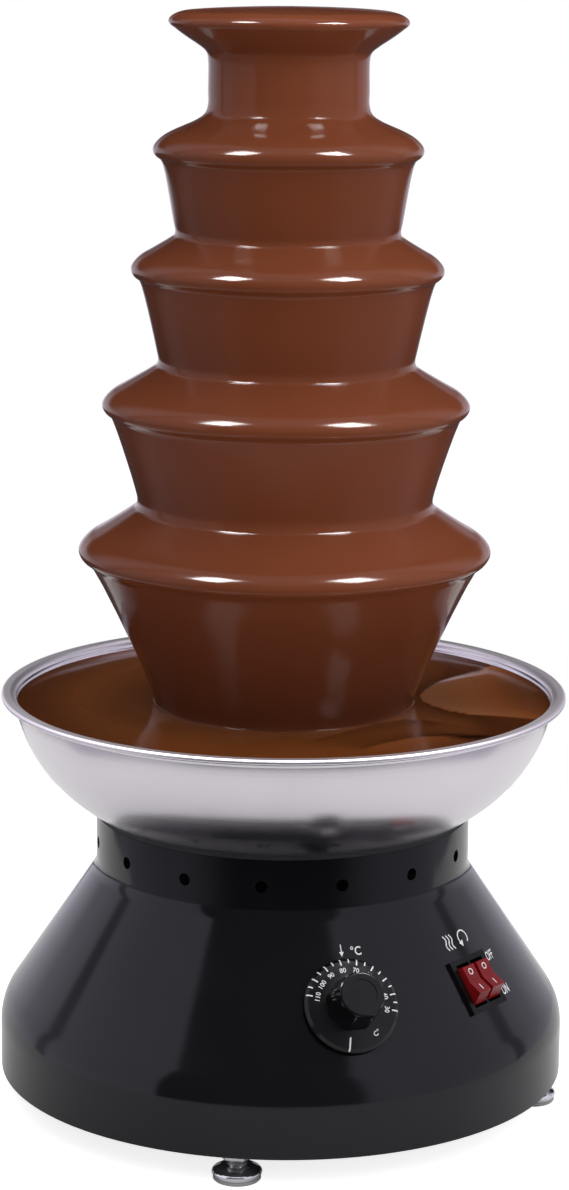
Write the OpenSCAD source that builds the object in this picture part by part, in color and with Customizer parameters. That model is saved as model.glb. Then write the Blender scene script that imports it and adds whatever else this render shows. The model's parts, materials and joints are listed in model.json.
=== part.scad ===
// Five-level chocolate fountain: a round heated base with a steel bowl, a lift-out tower with an auger,
// and the chocolate that fills the bowl and falls from level to level.
// Millimetres, +Z up, origin on the table under the middle of the base, controls towards -Y.

/* [Base housing] */
// Diameter of the upright skirt at the foot of the base
base_d = 236; // [220:1:290]
// Height of the skirt's lower edge above the table
base_z = 12.5; // [11:0.5:18]
// Height of the upright skirt, up to the corner of the cone
skirt_h = 26.5; // [22:0.5:36]
// Height of the cone between the skirt and the neck
cone_h = 60; // [52:1:80]
// Diameter of the upright neck that carries the bowl
neck_d = 155.6; // [140:0.2:176]
// Height of the upright neck
neck_h = 22.8; // [19:0.1:32]
// Sheet thickness of the housing
housing_wall = 1.2; // [0.8:0.1:1.6]
// Outside radius of the bend between skirt and cone
skirt_bend_r = 24; // [8:1:34]
// Outside radius of the bend between cone and neck
neck_bend_r = 10; // [4:1:16]
// Number of air holes round the neck
vent_count = 15; // [8:1:20]
// Diameter of each air hole
vent_d = 5; // [3:0.5:7]
// Drop from the neck's top edge to the middle of the air holes
vent_drop = 11.2; // [8:0.1:13]
// Turn of the first air hole to the right of the front
vent_turn = -6; // [-24:1:24]

/* [Bottom plate and feet] */
// Sheet thickness of the bottom plate
plate_t = 1.2; // [0.8:0.1:2]
// How far the bottom plate lies above the skirt's lower edge
plate_recess = 0.8; // [0.4:0.1:3]
// Diameter of the circle that the feet stand on
foot_circle_d = 214; // [190:1:216]
// Turn of the first foot to the left of the front
foot_turn = 9; // [0:1:45]
// Diameter of a foot's pad
foot_pad_d = 20; // [14:0.5:20]
// Height of a foot's pad with its glide
foot_pad_h = 6; // [4:0.5:7]
// Height of the plastic glide under the pad
glide_h = 1.6; // [1:0.1:2.4]
// Diameter of a foot's threaded stud
foot_stud_d = 8; // [5:0.5:10]
// How far a foot can be screwed out
foot_travel = 8; // [4:0.5:10]
// Thickness of the welded foot brackets
foot_bracket_t = 2; // [1.5:0.1:3]

/* [Cord gland] */
// Diameter of the gland's bore, for a round mains lead
gland_bore_d = 7.5; // [6:0.1:10]
// Outside diameter of the gland's threaded body
gland_body_d = 14; // [12:0.5:18]
// Height of the gland's axis above the skirt's lower edge
gland_rise = 14; // [11:0.5:18]
// Turn of the gland from the front, round to the right
gland_turn = 200; // [190:1:250]

/* [Bowl] */
// Diameter of the bowl's rolled rim
rim_d = 233.3; // [225:0.1:285]
// Depth from the rim's top to the underside of the floor
bowl_depth = 56.7; // [46:0.1:63]
// Sheet thickness of the bowl
bowl_t = 1; // [0.7:0.1:1.5]
// Outside radius of the bowl's side in section
bowl_side_r = 64.3; // [58:0.1:76]
// Inside radius of the bend between side and rim
rim_bend_r = 2; // [1:0.1:4]
// Width of the rim outside that bend
rim_w = 3.2; // [2.8:0.1:6]
// Diameter of the rolled bead along the rim
bead_d = 2.4; // [1.6:0.1:3]
// Height of the silicone ring between neck and bowl
seat_ring_h = 1.5; // [1:0.1:3]

/* [Tower] */
// Outside diameter of the tower's tube
tube_d = 60; // [50:1:66]
// Sheet thickness of the tube, the dish and the tiers
tower_t = 1; // [0.8:0.1:1.4]
// Diameter of the second level over its chocolate
tier_2_d = 109.2; // [100:0.2:118]
// Diameter of the third level over its chocolate
tier_3_d = 126.6; // [119:0.2:140]
// Diameter of the fourth level over its chocolate
tier_4_d = 149.2; // [141:0.2:160]
// Diameter of the fifth level over its chocolate
tier_5_d = 168.6; // [161:0.2:190]
// Height of the second level's edge above the bowl's rim
tier_2_rise = 221.6; // [214:0.1:228]
// Height of the third level's edge above the bowl's rim
tier_3_rise = 174; // [166:0.1:182]
// Height of the fourth level's edge above the bowl's rim
tier_4_rise = 118.5; // [110:0.1:128]
// Height of the fifth level's edge above the bowl's rim
tier_5_rise = 58.7; // [50:0.1:66]
// Fall of the tiers' tops, from level
tier_slope = 27; // [20:1:34]
// Radius of a tier's rounded edge over its chocolate
tier_edge_r = 6.5; // [5:0.1:8]
// Diameter of the top dish over its chocolate
dish_d = 96.4; // [86:0.2:108]
// Height of the top dish's edge above the bowl's rim
dish_rise = 273; // [262:1:300]
// Height of the flare of the top dish
dish_flare_h = 17; // [12:0.5:22]
// Diameter of the pins that carry the tiers
tier_pin_d = 4; // [3:0.1:5]
// Diameter of the pins that place the tower in the bowl
tower_pin_d = 5; // [4:0.1:6]

/* [Auger] */
// Diameter of the auger's core
core_d = 20; // [18:0.5:24]
// Rise of the screw in one turn
auger_pitch = 40; // [28:1:60]
// Thickness of the screw's flight at its edge
flight_t = 1.8; // [1.2:0.1:3]
// Thickness of the flight where it meets the core
flight_root_t = 3; // [2:0.1:4.5]
// Running gap between the flight's edge and the tube
flight_gap = 0.6; // [0.4:0.1:1.2]
// Width across the flats of the drive head and its socket
drive_af = 12; // [9:0.5:13]

/* [Drive] */
// Diameter of the geared motor
motor_d = 60; // [46:1:66]
// Length of the motor's can
motor_l = 36; // [26:1:42]
// Length of the gearbox
gearbox_l = 20; // [14:1:26]
// Diameter of the drive shaft
shaft_d = 8; // [6:0.5:9]
// Thickness of the plate that carries the motor
motor_plate_t = 2; // [1.5:0.1:3]
// Radius of the circle of studs under the bowl
stud_circle_r = 41; // [39:0.5:44]
// Diameter of those studs
stud_d = 5; // [4:0.1:6]
// Thickness of the heating ring
heater_h = 6; // [4:0.5:9]

/* [Controls] */
// Turn of the temperature dial to the right of the front
dial_turn = 15.9; // [0:0.1:25]
// Distance of the dial's middle up the cone from the skirt's corner
dial_up = 34.2; // [30:0.1:44]
// Diameter of the dial
dial_d = 38; // [32:0.5:44]
// Height of the dial's grip above the dial's face
grip_h = 15.5; // [10:0.5:20]
// Width of the eight-sided grip across its flats, at its foot
grip_af = 20.4; // [18:0.2:26]
// Draft of the grip's flats, from upright
grip_draft = 5.5; // [0:0.5:8]
// Turn of the double switch to the right of the front
switch_turn = 52.3; // [44:0.1:80]
// Distance of the switch's middle up the cone from the skirt's corner
switch_up = 32.9; // [26:0.1:42]
// Width of the switch's bezel
bezel_w = 23; // [22:0.5:30]
// Length of the switch's bezel, up the cone
bezel_l = 23; // [22:0.5:36]
// Width of one rocker
rocker_w = 7.4; // [6:0.1:8]
// Length of one rocker
rocker_l = 16.8; // [14:0.1:17.5]
// Tilt of a rocker each way from level
rocker_tilt = 12; // [6:1:14]

/* [Chocolate] */
// Thickness of the film on the metal
film_t = 2.2; // [1.6:0.1:2.6]
// Thickness of a falling sheet
sheet_t = 2.2; // [1.4:0.1:2.8]
// Thickness of the film on the tube, down to the second level
tube_film_t = 2.4; // [1.8:0.1:4]
// Radius at which the sheet lands on the third level
land_3_r = 45.8; // [42:0.1:50]
// Radius at which the sheet lands on the fourth level
land_4_r = 52.6; // [46:0.1:58]
// Radius at which the sheet lands on the fifth level
land_5_r = 60.3; // [54:0.1:66]
// Radius at which the last sheet meets the pool
land_pool_r = 54; // [48:0.1:70]
// Height of the swell on top of the dish, above the dish's edge
crown_h = 5.2; // [2:0.1:8]
// Drop from the bowl's rim to the pool
pool_drop = 4.7; // [4.4:0.1:12]

/* [Hidden] */

$fn = 64;
// Straight steps in a rounded stretch of an outline
arc_steps = 12;
// Straight steps in a tight bend
bend_steps = 6;
// Straight steps in a bend of the glossy housing, and in half the bowl's side
fine_steps = 24;
// Gap between curved faces that are welded, pressed or poured together
touch_gap = 0.05;
// Radial gap of a shaft or stud that turns or slides in its hole
run_gap = 0.05;
// Radial gap of a hole round a screw, stud or pin
hole_gap = 0.3;
// Gap of a loose fit that lifts off by hand
lift_gap = 0.2;
// Overlap of a cutting shape past the face that it cuts
cut = 1;

base_r = base_d / 2;
neck_r = neck_d / 2;
skirt_z = base_z + skirt_h;
cone_z = skirt_z + cone_h;
neck_top = cone_z + neck_h;
cone_lean = atan((base_r - neck_r) / cone_h);
// Middles of the two bends in section
skirt_bend_c = [base_r - skirt_bend_r, skirt_z - skirt_bend_r * tan(cone_lean / 2)];
neck_bend_c = [neck_r + neck_bend_r, cone_z + neck_bend_r * tan(cone_lean / 2)];

// Bowl section: a flat floor, one arc up the side, and a bend out to the rim
rim_r = rim_d / 2;
rim_turn = acos((bowl_side_r + rim_bend_r + bowl_t - bowl_depth) / (bowl_side_r + rim_bend_r));
floor_r = rim_r - rim_w - (bowl_side_r + rim_bend_r) * sin(rim_turn);
seat_r = neck_r - housing_wall / 2;
floor_z = neck_top + seat_ring_h - bowl_side_r + sqrt(pow(bowl_side_r, 2) - pow(seat_r - floor_r, 2));
floor_top = floor_z + bowl_t;
rim_z = floor_z + bowl_depth;
side_c = [floor_r, floor_z + bowl_side_r];
pool_z = rim_z - pool_drop;

// Tower
tube_r = tube_d / 2;
tube_in_r = tube_r - tower_t;
tier_d = [tier_2_d, tier_3_d, tier_4_d, tier_5_d];
tier_z = [for (rise = [tier_2_rise, tier_3_rise, tier_4_rise, tier_5_rise]) rim_z + rise];
landing_r = [tube_r + tube_film_t, land_3_r, land_4_r, land_5_r, land_pool_r];
dish_r = dish_d / 2;
dish_z = rim_z + dish_rise;
dish_foot_z = dish_z - dish_flare_h;
tube_top = dish_foot_z + 4;
// Height of the edge turned down round a tier
tier_lip = 2;
collar_h = 8;
collar_r = tube_r + lift_gap;
tower_foot_r = tube_r + 11;
tower_foot_t = 2;
tower_pin_circle = tube_r + 6;
// Height of those pins above the tower's foot
tower_pin_h = 4;
window_w = 20;
window_h = 18;
window_count = 4;
window_z = floor_top + tower_foot_t + 2;

// Auger and drive, stacked down from the bowl's floor
core_r = core_d / 2;
flight_r = tube_in_r - flight_gap;
seal_flange_t = 3;
seal_flange_r = 15;
seal_boss_r = 9;
seal_boss_h = 3;
core_bottom = floor_top + seal_flange_t + seal_boss_h + 1.5;
socket_h = 20;
head_z = core_bottom + 2;
core_top = dish_z - 8;
heater_top = floor_z - touch_gap;
clamp_t = 1.5;
clamp_top = heater_top - heater_h;
nut_h = 4;
stud_nut_af = 8;
clamp_nut_z = clamp_top - clamp_t - nut_h;
bracket_drop = 10;
motor_plate_top = clamp_nut_z - bracket_drop + nut_h;
gearbox_top = motor_plate_top - motor_plate_t;
gearbox_bottom = gearbox_top - gearbox_l;
motor_r = motor_d / 2;
motor_plate_r = neck_r - housing_wall - 5;
gear_screw_r = motor_r - 6;
gear_screw_d = 4;
gear_screw_in = 7;
gearbox_boss_r = shaft_d / 2 + 5;
gearbox_boss_h = 2;
shaft_bottom = gearbox_bottom + 4;
shaft_end_gap = 1;

// Bottom plate and feet
plate_z = base_z + plate_recess;
plate_top = plate_z + plate_t;
foot_r = foot_circle_d / 2;
lock_nut_h = 3.6;
foot_nut_h = 6.5;
foot_nut_af = foot_stud_d * 1.625;
bracket_w = 24;
bracket_up = 14;
stud_top = plate_top + foot_bracket_t + foot_nut_h + foot_travel + 4;
foot_turns = [for (i = [0:3]) 90 * i - foot_turn];

// Gland
gland_z = base_z + gland_rise;
gland_flange_d = gland_body_d + 6;
gland_out = 2;
gland_in = 12;

// Controls, in a local frame on the cone: x to the right, y up the cone, z out of it
spindle_d = 6;
bush_d = 10;
dial_gap = 1.2;
skirt_t = 3;
thermostat_w = 34;
thermostat_l = 42;
thermostat_d = 20;
thermostat_screw_up = 14;
thermostat_screw_d = 4;
thermostat_screw_in = 5;
tab_t = 1.5;
tab_w = 20;
// Depth of the hollow that the flat tab leaves against the curved wall in front of it
tab_sag = 0.6;
bezel_t = 1;
// Width of the bezel's edge outside the switch's body
bezel_edge = 1;
bay_gap = 0.4;
rib_w = 1.2;
// Least wall of the body round its bays
body_wall = 1.2;
rocker_pitch = rocker_w + 2 * bay_gap + rib_w;
rocker_pivot_z = -2;
rocker_pin_d = 2.6;
rocker_pin_out = bay_gap + 0.4;
bay_w = rocker_w + 2 * bay_gap;
bay_l = rocker_l + 4 * bay_gap;
body_w = max(bezel_w - 2 * bezel_edge, rocker_pitch + rocker_w + 2 * (rocker_pin_out + body_wall));
body_l = max(bezel_l - 2 * bezel_edge, bay_l + 2 * body_wall);
body_d = 24;
frame_w = body_w + 2 * bezel_edge;
frame_l = body_l + 2 * bezel_edge;
rocker_rise = 5.6;
rocker_bevel = 2.2;
rocker_depth = 6;
bay_depth = 14;

function rest(list) = [for (i = [1:len(list) - 1]) list[i]];
function reversed(list) = [for (i = [len(list) - 1:-1:0]) list[i]];
function arc(c, r, a0, a1, n = arc_steps) =
    [for (i = [0:n]) let (a = a0 + (a1 - a0) * i / n) c + r * [cos(a), sin(a)]];
function bezier(a, b, c, d, n = arc_steps) =
    [for (i = [0:n]) let (t = i / n, s = 1 - t)
        s * s * s * a + 3 * s * s * t * b + 3 * s * t * t * c + t * t * t * d];
// Outline of the housing's sheet from the skirt's edge to the neck's, moved in by t
function housing_line(t) =
    concat([[base_r - t, base_z]], arc(skirt_bend_c, skirt_bend_r - t, 0, cone_lean, fine_steps),
        arc(neck_bend_c, neck_bend_r + t, 180 + cone_lean, 180, fine_steps), [[neck_r - t, neck_top]]);

// Height of a tier's top, over its chocolate less a film of t, at radius r
function tier_edge_c(i) = [tier_d[i] / 2 - tier_edge_r, tier_z[i]];
function tier_top_z(i, r, t = 0) =
    let (c = tier_edge_c(i), p = c + (tier_edge_r - t) * [sin(tier_slope), cos(tier_slope)])
    p[1] + (p[0] - r) * tan(tier_slope);
// Outline of a tier's top and rounded edge from radius r outwards
function tier_line(i, r, t) =
    concat([[r, tier_top_z(i, r, t)]], arc(tier_edge_c(i), tier_edge_r - t, 90 - tier_slope, 0));

// Places things on the cone, turned to the right of the front and moved up from the skirt's corner
module on_cone(turn, up) {
    rotate([0, 0, turn])
    translate([0, -(base_r - up * sin(cone_lean)), skirt_z + up * cos(cone_lean)])
    rotate([90 - cone_lean, 0, 0])
    children();
}

// Places things on a circle round the middle, turned from the front, along the row of turns
module at_turns(turns, r = 0, z = 0) {
    for (turn = turns) rotate([0, 0, turn]) translate([0, -r, z]) children();
}

module spun(points) {
    rotate_extrude() polygon(points);
}

module tube(r, r_in, h) {
    difference() {
        cylinder(r = r, h = h);
        translate([0, 0, -cut]) cylinder(r = r_in, h = h + 2 * cut);
    }
}

module hex_nut(af, d, h) {
    difference() {
        cylinder(d = af / cos(30), h = h, $fn = 6);
        translate([0, 0, -cut]) cylinder(d = d, h = h + 2 * cut);
    }
}

// Solid cone of the housing's outside, for pieces that lie on it
module cone_face(lift) {
    reach = 30;
    slant = tan(cone_lean);
    translate([0, 0, skirt_z - reach])
    cylinder(r1 = base_r + reach * slant + lift, r2 = neck_r - reach * slant + lift,
        h = cone_h + 2 * reach);
}

// Base

module base_housing() {
    reach = 8;
    vent_turns = [for (i = [0:vent_count - 1]) vent_turn + 360 * i / vent_count];
    color("#18181b")
    difference() {
        spun(concat(housing_line(0), reversed(housing_line(housing_wall))));
        at_turns(vent_turns, neck_r - reach, neck_top - vent_drop)
            rotate([90, 0, 0]) cylinder(d = vent_d, h = 2 * reach);
        on_cone(dial_turn, dial_up) {
            translate([0, 0, -reach]) cylinder(d = bush_d + 2 * hole_gap, h = 2 * reach);
            for (side = [-1, 1])
                translate([0, side * thermostat_screw_up, -reach])
                cylinder(d = thermostat_screw_d + 2 * hole_gap, h = 2 * reach);
        }
        on_cone(switch_turn, switch_up)
            translate([-body_w / 2 - hole_gap, -body_l / 2 - hole_gap, -reach])
            cube([body_w + 2 * hole_gap, body_l + 2 * hole_gap, 2 * reach]);
        at_gland(-reach) cylinder(d = gland_body_d + 2 * touch_gap, h = 2 * reach);
    }
}

module base_plate() {
    vent_rings = [[44, 12], [58, 18], [72, 24]];
    plate_r = base_r - housing_wall - lift_gap;
    color("#3a3a3d")
    translate([0, 0, plate_z])
    difference() {
        cylinder(r = plate_r, h = plate_t);
        at_turns(foot_turns, foot_r, -cut) cylinder(d = foot_stud_d + 2 * hole_gap, h = plate_t + 2 * cut);
        for (ring = vent_rings)
            at_turns([for (i = [0:ring[1] - 1]) 360 * i / ring[1]], ring[0], -cut)
                cylinder(d = vent_d, h = plate_t + 2 * cut);
    }
}

// Bracket welded inside the skirt, with a flat tab that the plate and the foot's nuts clamp
module foot_brackets() {
    wall_r = base_r - housing_wall - touch_gap;
    tab_in = foot_r - foot_nut_af;
    sweep = 2 * asin(bracket_w / 2 / wall_r);
    color("silver")
    at_turns(foot_turns)
    difference() {
        rotate([0, 0, -90 - sweep / 2])
            rotate_extrude(angle = sweep)
            polygon([[tab_in, plate_top], [wall_r, plate_top], [wall_r, plate_top + bracket_up],
                [wall_r - foot_bracket_t, plate_top + bracket_up],
                [wall_r - foot_bracket_t, plate_top + foot_bracket_t],
                [tab_in, plate_top + foot_bracket_t]]);
        translate([0, -foot_r, plate_top - cut])
            cylinder(d = foot_stud_d + 2 * hole_gap, h = foot_bracket_t + 2 * cut);
    }
}

// Nuts welded on the brackets, which the feet screw into
module foot_nuts() {
    color("silver")
    at_turns(foot_turns, foot_r, plate_top + foot_bracket_t)
        hex_nut(foot_nut_af, foot_stud_d + 2 * run_gap, foot_nut_h);
}

module foot_lock_nuts() {
    color("silver")
    at_turns(foot_turns, foot_r, plate_z - lock_nut_h)
        hex_nut(foot_nut_af, foot_stud_d + 2 * run_gap, lock_nut_h);
}

// Pad and stud in one piece, with a hollow under it for the glide
module foot(turn) {
    pad_r = foot_pad_d / 2;
    stud_r = foot_stud_d / 2;
    edge_r = 1.4;
    edge_z = glide_h + (foot_pad_h - glide_h) * 0.35;
    // Width of the pad's level top round the stud
    ledge = 2.4;
    chamfer = 1;
    color("#c9c9cc")
    at_turns([turn], foot_r)
    spun(concat([[0, glide_h], [pad_r - edge_r / 2, glide_h]],
        arc([pad_r - edge_r, edge_z], edge_r, 0, 60, 5),
        [[stud_r + ledge, foot_pad_h], [stud_r, foot_pad_h], [stud_r, stud_top - chamfer],
        [stud_r - chamfer, stud_top], [0, stud_top]]));
}

module glide(turn) {
    chamfer = 0.5;
    glide_r = foot_pad_d / 2 - chamfer;
    color("#8b8b8e")
    at_turns([turn], foot_r)
    spun([[0, 0], [glide_r - chamfer, 0], [glide_r, chamfer], [glide_r, glide_h], [0, glide_h]]);
}

// Places things on the gland's axis, with z running out of the skirt from its outside
module at_gland(out) {
    rotate([0, 0, gland_turn])
    translate([0, -base_r - out, gland_z])
    rotate([90, 0, 0])
    children();
}

// Gland with a flange that follows the skirt and a bore for the lead
module cord_gland() {
    flange_in = 4;
    color("#202022")
    difference() {
        union() {
            at_gland(-gland_in) cylinder(d = gland_body_d, h = gland_in + gland_out);
            difference() {
                at_gland(-flange_in) cylinder(d = gland_flange_d, h = flange_in + gland_out);
                cylinder(r = base_r + touch_gap, h = skirt_z);
            }
        }
        at_gland(-gland_in - cut) cylinder(d = gland_bore_d, h = gland_in + gland_out + 2 * cut);
    }
}

// Inside radius of the skirt, or of the bend over it, at height z
function skirt_inside(z) =
    let (up = max(0, z - skirt_bend_c[1]))
    skirt_bend_c[0] + sqrt(pow(skirt_bend_r - housing_wall, 2) - pow(up, 2));

// Lock nut inside the skirt, far enough in to clear the skirt's curve and bend
module gland_nut() {
    nut_t = 5;
    nut_af = gland_body_d + 5;
    corner = nut_af / 2 / cos(30);
    side_in = sqrt(pow(skirt_inside(gland_z), 2) - pow(corner, 2));
    top_in = sqrt(pow(skirt_inside(gland_z + nut_af / 2), 2) - pow(corner / 2, 2));
    clear = base_r - min(side_in, top_in) + touch_gap;
    color("#202022")
    at_gland(-clear - nut_t) hex_nut(nut_af, gland_body_d + 2 * touch_gap, nut_t);
}

// Three-way block on the bottom plate, with a hole through for each lead and two screw wells over it
module terminal_block() {
    block = [36, 20, 14];
    ways = 3;
    lead_d = 4;
    well_d = 4.4;
    back = 62;
    color("#e8e4d8")
    translate([-block[0] / 2, back, plate_top])
    difference() {
        cube(block);
        for (i = [0:ways - 1])
            translate([block[0] * (i + 0.5) / ways, 0, 0]) {
                translate([0, -cut, block[2] * 0.45])
                    rotate([-90, 0, 0]) cylinder(d = lead_d, h = block[1] + 2 * cut);
                for (y = [0.3, 0.7])
                    translate([0, block[1] * y, block[2] * 0.6]) cylinder(d = well_d, h = block[2]);
            }
    }
}

// Motor and what carries it

// Angles welded inside the neck: the bowl's studs draw the motor plate up against them
module neck_brackets() {
    wall_r = neck_r - housing_wall - touch_gap;
    reach = 15;
    up = 7;
    t = 2;
    sweep = 16;
    color("silver")
    for (i = [0:2])
        rotate([0, 0, 30 + 120 * i - sweep / 2])
        rotate_extrude(angle = sweep)
        translate([wall_r, motor_plate_top])
        polygon([[-reach, 0], [0, 0], [0, up], [-t, up], [-t, t], [-reach, t]]);
}

stud_turns = [for (i = [0:2]) 120 * i];
gear_screw_turns = [for (i = [0:3]) 45 + 90 * i];

module motor_plate() {
    air_hole_r = (stud_circle_r + motor_plate_r) / 2;
    air_hole_d = 14;
    air_turns = [for (i = [0:2]) each [40 + 120 * i, 80 + 120 * i]];
    deep = motor_plate_t + 2 * cut;
    color("#9a9a9e")
    translate([0, 0, gearbox_top])
    difference() {
        cylinder(r = motor_plate_r, h = motor_plate_t);
        translate([0, 0, -cut]) cylinder(r = gearbox_boss_r + hole_gap, h = deep);
        at_turns(stud_turns, stud_circle_r, -cut) cylinder(d = stud_d + 2 * hole_gap, h = deep);
        at_turns(gear_screw_turns, gear_screw_r, -cut) cylinder(d = gear_screw_d + 2 * hole_gap, h = deep);
        at_turns(air_turns, air_hole_r, -cut) cylinder(d = air_hole_d, h = deep);
    }
}

module gearbox_case() {
    edge = 1.5;
    color("#8d8f93")
    difference() {
        union() {
            spun([[0, gearbox_bottom], [motor_r, gearbox_bottom], [motor_r, gearbox_top - edge],
                [motor_r - edge, gearbox_top], [0, gearbox_top]]);
            translate([0, 0, gearbox_top]) cylinder(r = gearbox_boss_r, h = motor_plate_t + gearbox_boss_h);
        }
        translate([0, 0, shaft_bottom]) cylinder(r = shaft_d / 2 + run_gap, h = 2 * gearbox_l);
        at_turns(gear_screw_turns, gear_screw_r, gearbox_top - gear_screw_in - cut)
            cylinder(d = gear_screw_d + 2 * touch_gap, h = gear_screw_in + 2 * cut);
    }
}

module motor_can() {
    edge = 3;
    bottom = gearbox_bottom - motor_l;
    flange_h = 2;
    can_r = motor_r - 2;
    flange_r = motor_r + 2;
    color("#b9bbbf")
    spun([[0, bottom], [can_r - edge, bottom], [can_r, bottom + edge], [can_r, gearbox_bottom - flange_h],
        [flange_r, gearbox_bottom - flange_h], [flange_r, gearbox_bottom], [0, gearbox_bottom]]);
}

module gearbox_screws() {
    head_h = 2.6;
    color("silver")
    at_turns(gear_screw_turns, gear_screw_r, gearbox_top - gear_screw_in) {
        cylinder(d = gear_screw_d, h = gear_screw_in + motor_plate_t + cut);
        translate([0, 0, gear_screw_in + motor_plate_t]) cylinder(d = 1.75 * gear_screw_d, h = head_h);
    }
}

// Round shaft with a hexagonal head that the auger drops over
module drive_shaft() {
    color("#d0d0d4")
    union() {
        translate([0, 0, shaft_bottom + shaft_end_gap])
            cylinder(d = shaft_d, h = head_z - shaft_bottom);
        translate([0, 0, head_z])
            cylinder(d = (drive_af - 2 * lift_gap) / cos(30), h = core_bottom + socket_h - head_z, $fn = 6);
    }
}

// Bowl and heater

module bowl() {
    bead_r = bead_d / 2;
    top_c = side_c + (bowl_side_r + rim_bend_r) * [sin(rim_turn), -cos(rim_turn)];
    flange_end = rim_r - bead_r;
    color("#c4c2c6")
    difference() {
        union() {
            spun(concat([[0, floor_top]],
                arc(side_c, bowl_side_r - bowl_t, -90, rim_turn - 90, 2 * fine_steps),
                arc(top_c, rim_bend_r + bowl_t, 90 + rim_turn, 90, bend_steps),
                [[flange_end, rim_z], [flange_end, rim_z - bowl_t]],
                arc(top_c, rim_bend_r, 90, 90 + rim_turn, bend_steps),
                arc(side_c, bowl_side_r, rim_turn - 90, -90, 2 * fine_steps), [[0, floor_z]]));
            rotate_extrude() translate([flange_end, rim_z - bead_r]) circle(r = bead_r);
        }
        translate([0, 0, floor_z - cut]) cylinder(r = seal_boss_r + touch_gap, h = bowl_t + 2 * cut);
    }
}

// Soft ring on the neck's edge, hollowed to the bowl's side
module bowl_seat_ring() {
    outer = neck_r - lift_gap;
    inner = neck_r - 4.5;
    wall_in = neck_r - housing_wall - touch_gap;
    leg_h = 4;
    top = neck_top + 8;
    color("#101012")
    rotate_extrude()
    difference() {
        polygon([[inner, neck_top - leg_h], [wall_in, neck_top - leg_h], [wall_in, neck_top],
            [outer, neck_top], [outer, top], [inner, top]]);
        translate(side_c) circle(r = bowl_side_r + touch_gap, $fn = 256);
    }
}

module bowl_studs() {
    bottom = gearbox_top - nut_h - 3;
    color("silver")
    at_turns(stud_turns, stud_circle_r, bottom) cylinder(d = stud_d, h = floor_z - bottom);
}

module bowl_nuts() {
    color("silver")
    for (z = [clamp_nut_z, gearbox_top - nut_h])
        at_turns(stud_turns, stud_circle_r, z) hex_nut(stud_nut_af, stud_d + 2 * run_gap, nut_h);
}

heater_r = stud_circle_r - stud_d / 2 - 2.5;
heater_in_r = seal_flange_r + 5;
heater_pin_turns = [190, 200];
heater_pin_d = 3;
heater_pin_l = 8;
heater_pin_r = (heater_r + heater_in_r) / 2;

// Cast ring under the bowl's floor with two terminal pins
module heating_ring() {
    color("#a7a9ad")
    union() {
        translate([0, 0, clamp_top]) tube(heater_r, heater_in_r, heater_h);
        at_turns(heater_pin_turns, heater_pin_r, clamp_top - heater_pin_l)
            cylinder(d = heater_pin_d, h = heater_pin_l + cut);
    }
}

module heater_clamp() {
    color("#b4b6ba")
    translate([0, 0, clamp_top - clamp_t])
    difference() {
        cylinder(r = stud_circle_r + 5, h = clamp_t);
        translate([0, 0, -cut]) cylinder(r = seal_flange_r + 2, h = clamp_t + 2 * cut);
        at_turns(stud_turns, stud_circle_r, -cut)
            cylinder(d = stud_d + 2 * hole_gap, h = clamp_t + 2 * cut);
        at_turns(heater_pin_turns, heater_pin_r, -cut)
            cylinder(d = heater_pin_d + 4 * hole_gap, h = clamp_t + 2 * cut);
    }
}

seal_thread_h = 12;
seal_cup_h = 4;
seal_nut_h = 6;
shaft_bush_t = 2;
shaft_seal_t = 3.5;

// Turned hub through the bowl's floor: flange and boss above, thread below, a bush and a lip seal inside
module seal_housing() {
    bottom = floor_z - seal_thread_h;
    flange_top = floor_top + seal_flange_t;
    top = flange_top + seal_boss_h;
    bush_r = shaft_d / 2 + shaft_bush_t + touch_gap;
    cup_r = shaft_d / 2 + shaft_seal_t + touch_gap;
    chamfer = 0.6;
    color("#d6d6da")
    spun([[bush_r, bottom], [seal_boss_r, bottom], [seal_boss_r, floor_top], [seal_flange_r, floor_top],
        [seal_flange_r, flange_top - chamfer], [seal_flange_r - chamfer, flange_top],
        [seal_boss_r, flange_top], [seal_boss_r, top - chamfer], [seal_boss_r - chamfer, top],
        [cup_r, top], [cup_r, top - seal_cup_h], [bush_r, top - seal_cup_h]]);
}

module seal_nut() {
    color("silver")
    translate([0, 0, floor_z - seal_nut_h])
        hex_nut(2.7 * seal_boss_r, 2 * (seal_boss_r + run_gap), seal_nut_h - touch_gap);
}

module shaft_bush() {
    bottom = floor_z - seal_thread_h;
    top = floor_top + seal_flange_t + seal_boss_h - seal_cup_h;
    color("#b08d57")
    translate([0, 0, bottom]) tube(shaft_d / 2 + shaft_bush_t, shaft_d / 2 + run_gap, top - bottom);
}

module shaft_seal() {
    top = floor_top + seal_flange_t + seal_boss_h;
    color("#7a3b2a")
    translate([0, 0, top - seal_cup_h])
        tube(shaft_d / 2 + shaft_seal_t, shaft_d / 2 + run_gap, seal_cup_h);
}

// Tower

module tower_tube() {
    color("#c9c9cd")
    difference() {
        translate([0, 0, floor_top]) tube(tube_r, tube_in_r, tube_top - floor_top);
        tier_pin_set(touch_gap);
        at_turns([for (i = [0:window_count - 1]) 45 + 360 * i / window_count], 0, window_z)
            rotate([90, 0, 0]) linear_extrude(tube_d) {
                translate([-window_w / 2, 0]) square([window_w, window_h - window_w / 2]);
                translate([0, window_h - window_w / 2]) circle(d = window_w);
            }
    }
}

tower_pin_turns = [for (i = [0:2]) 120 * i];

module tower_foot() {
    color("#c9c9cd")
    translate([0, 0, floor_top])
    difference() {
        tube(tower_foot_r, tube_r + touch_gap, tower_foot_t);
        at_turns(tower_pin_turns, tower_pin_circle, -cut)
            cylinder(d = tower_pin_d + 2 * lift_gap, h = tower_foot_t + 2 * cut);
    }
}

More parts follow.
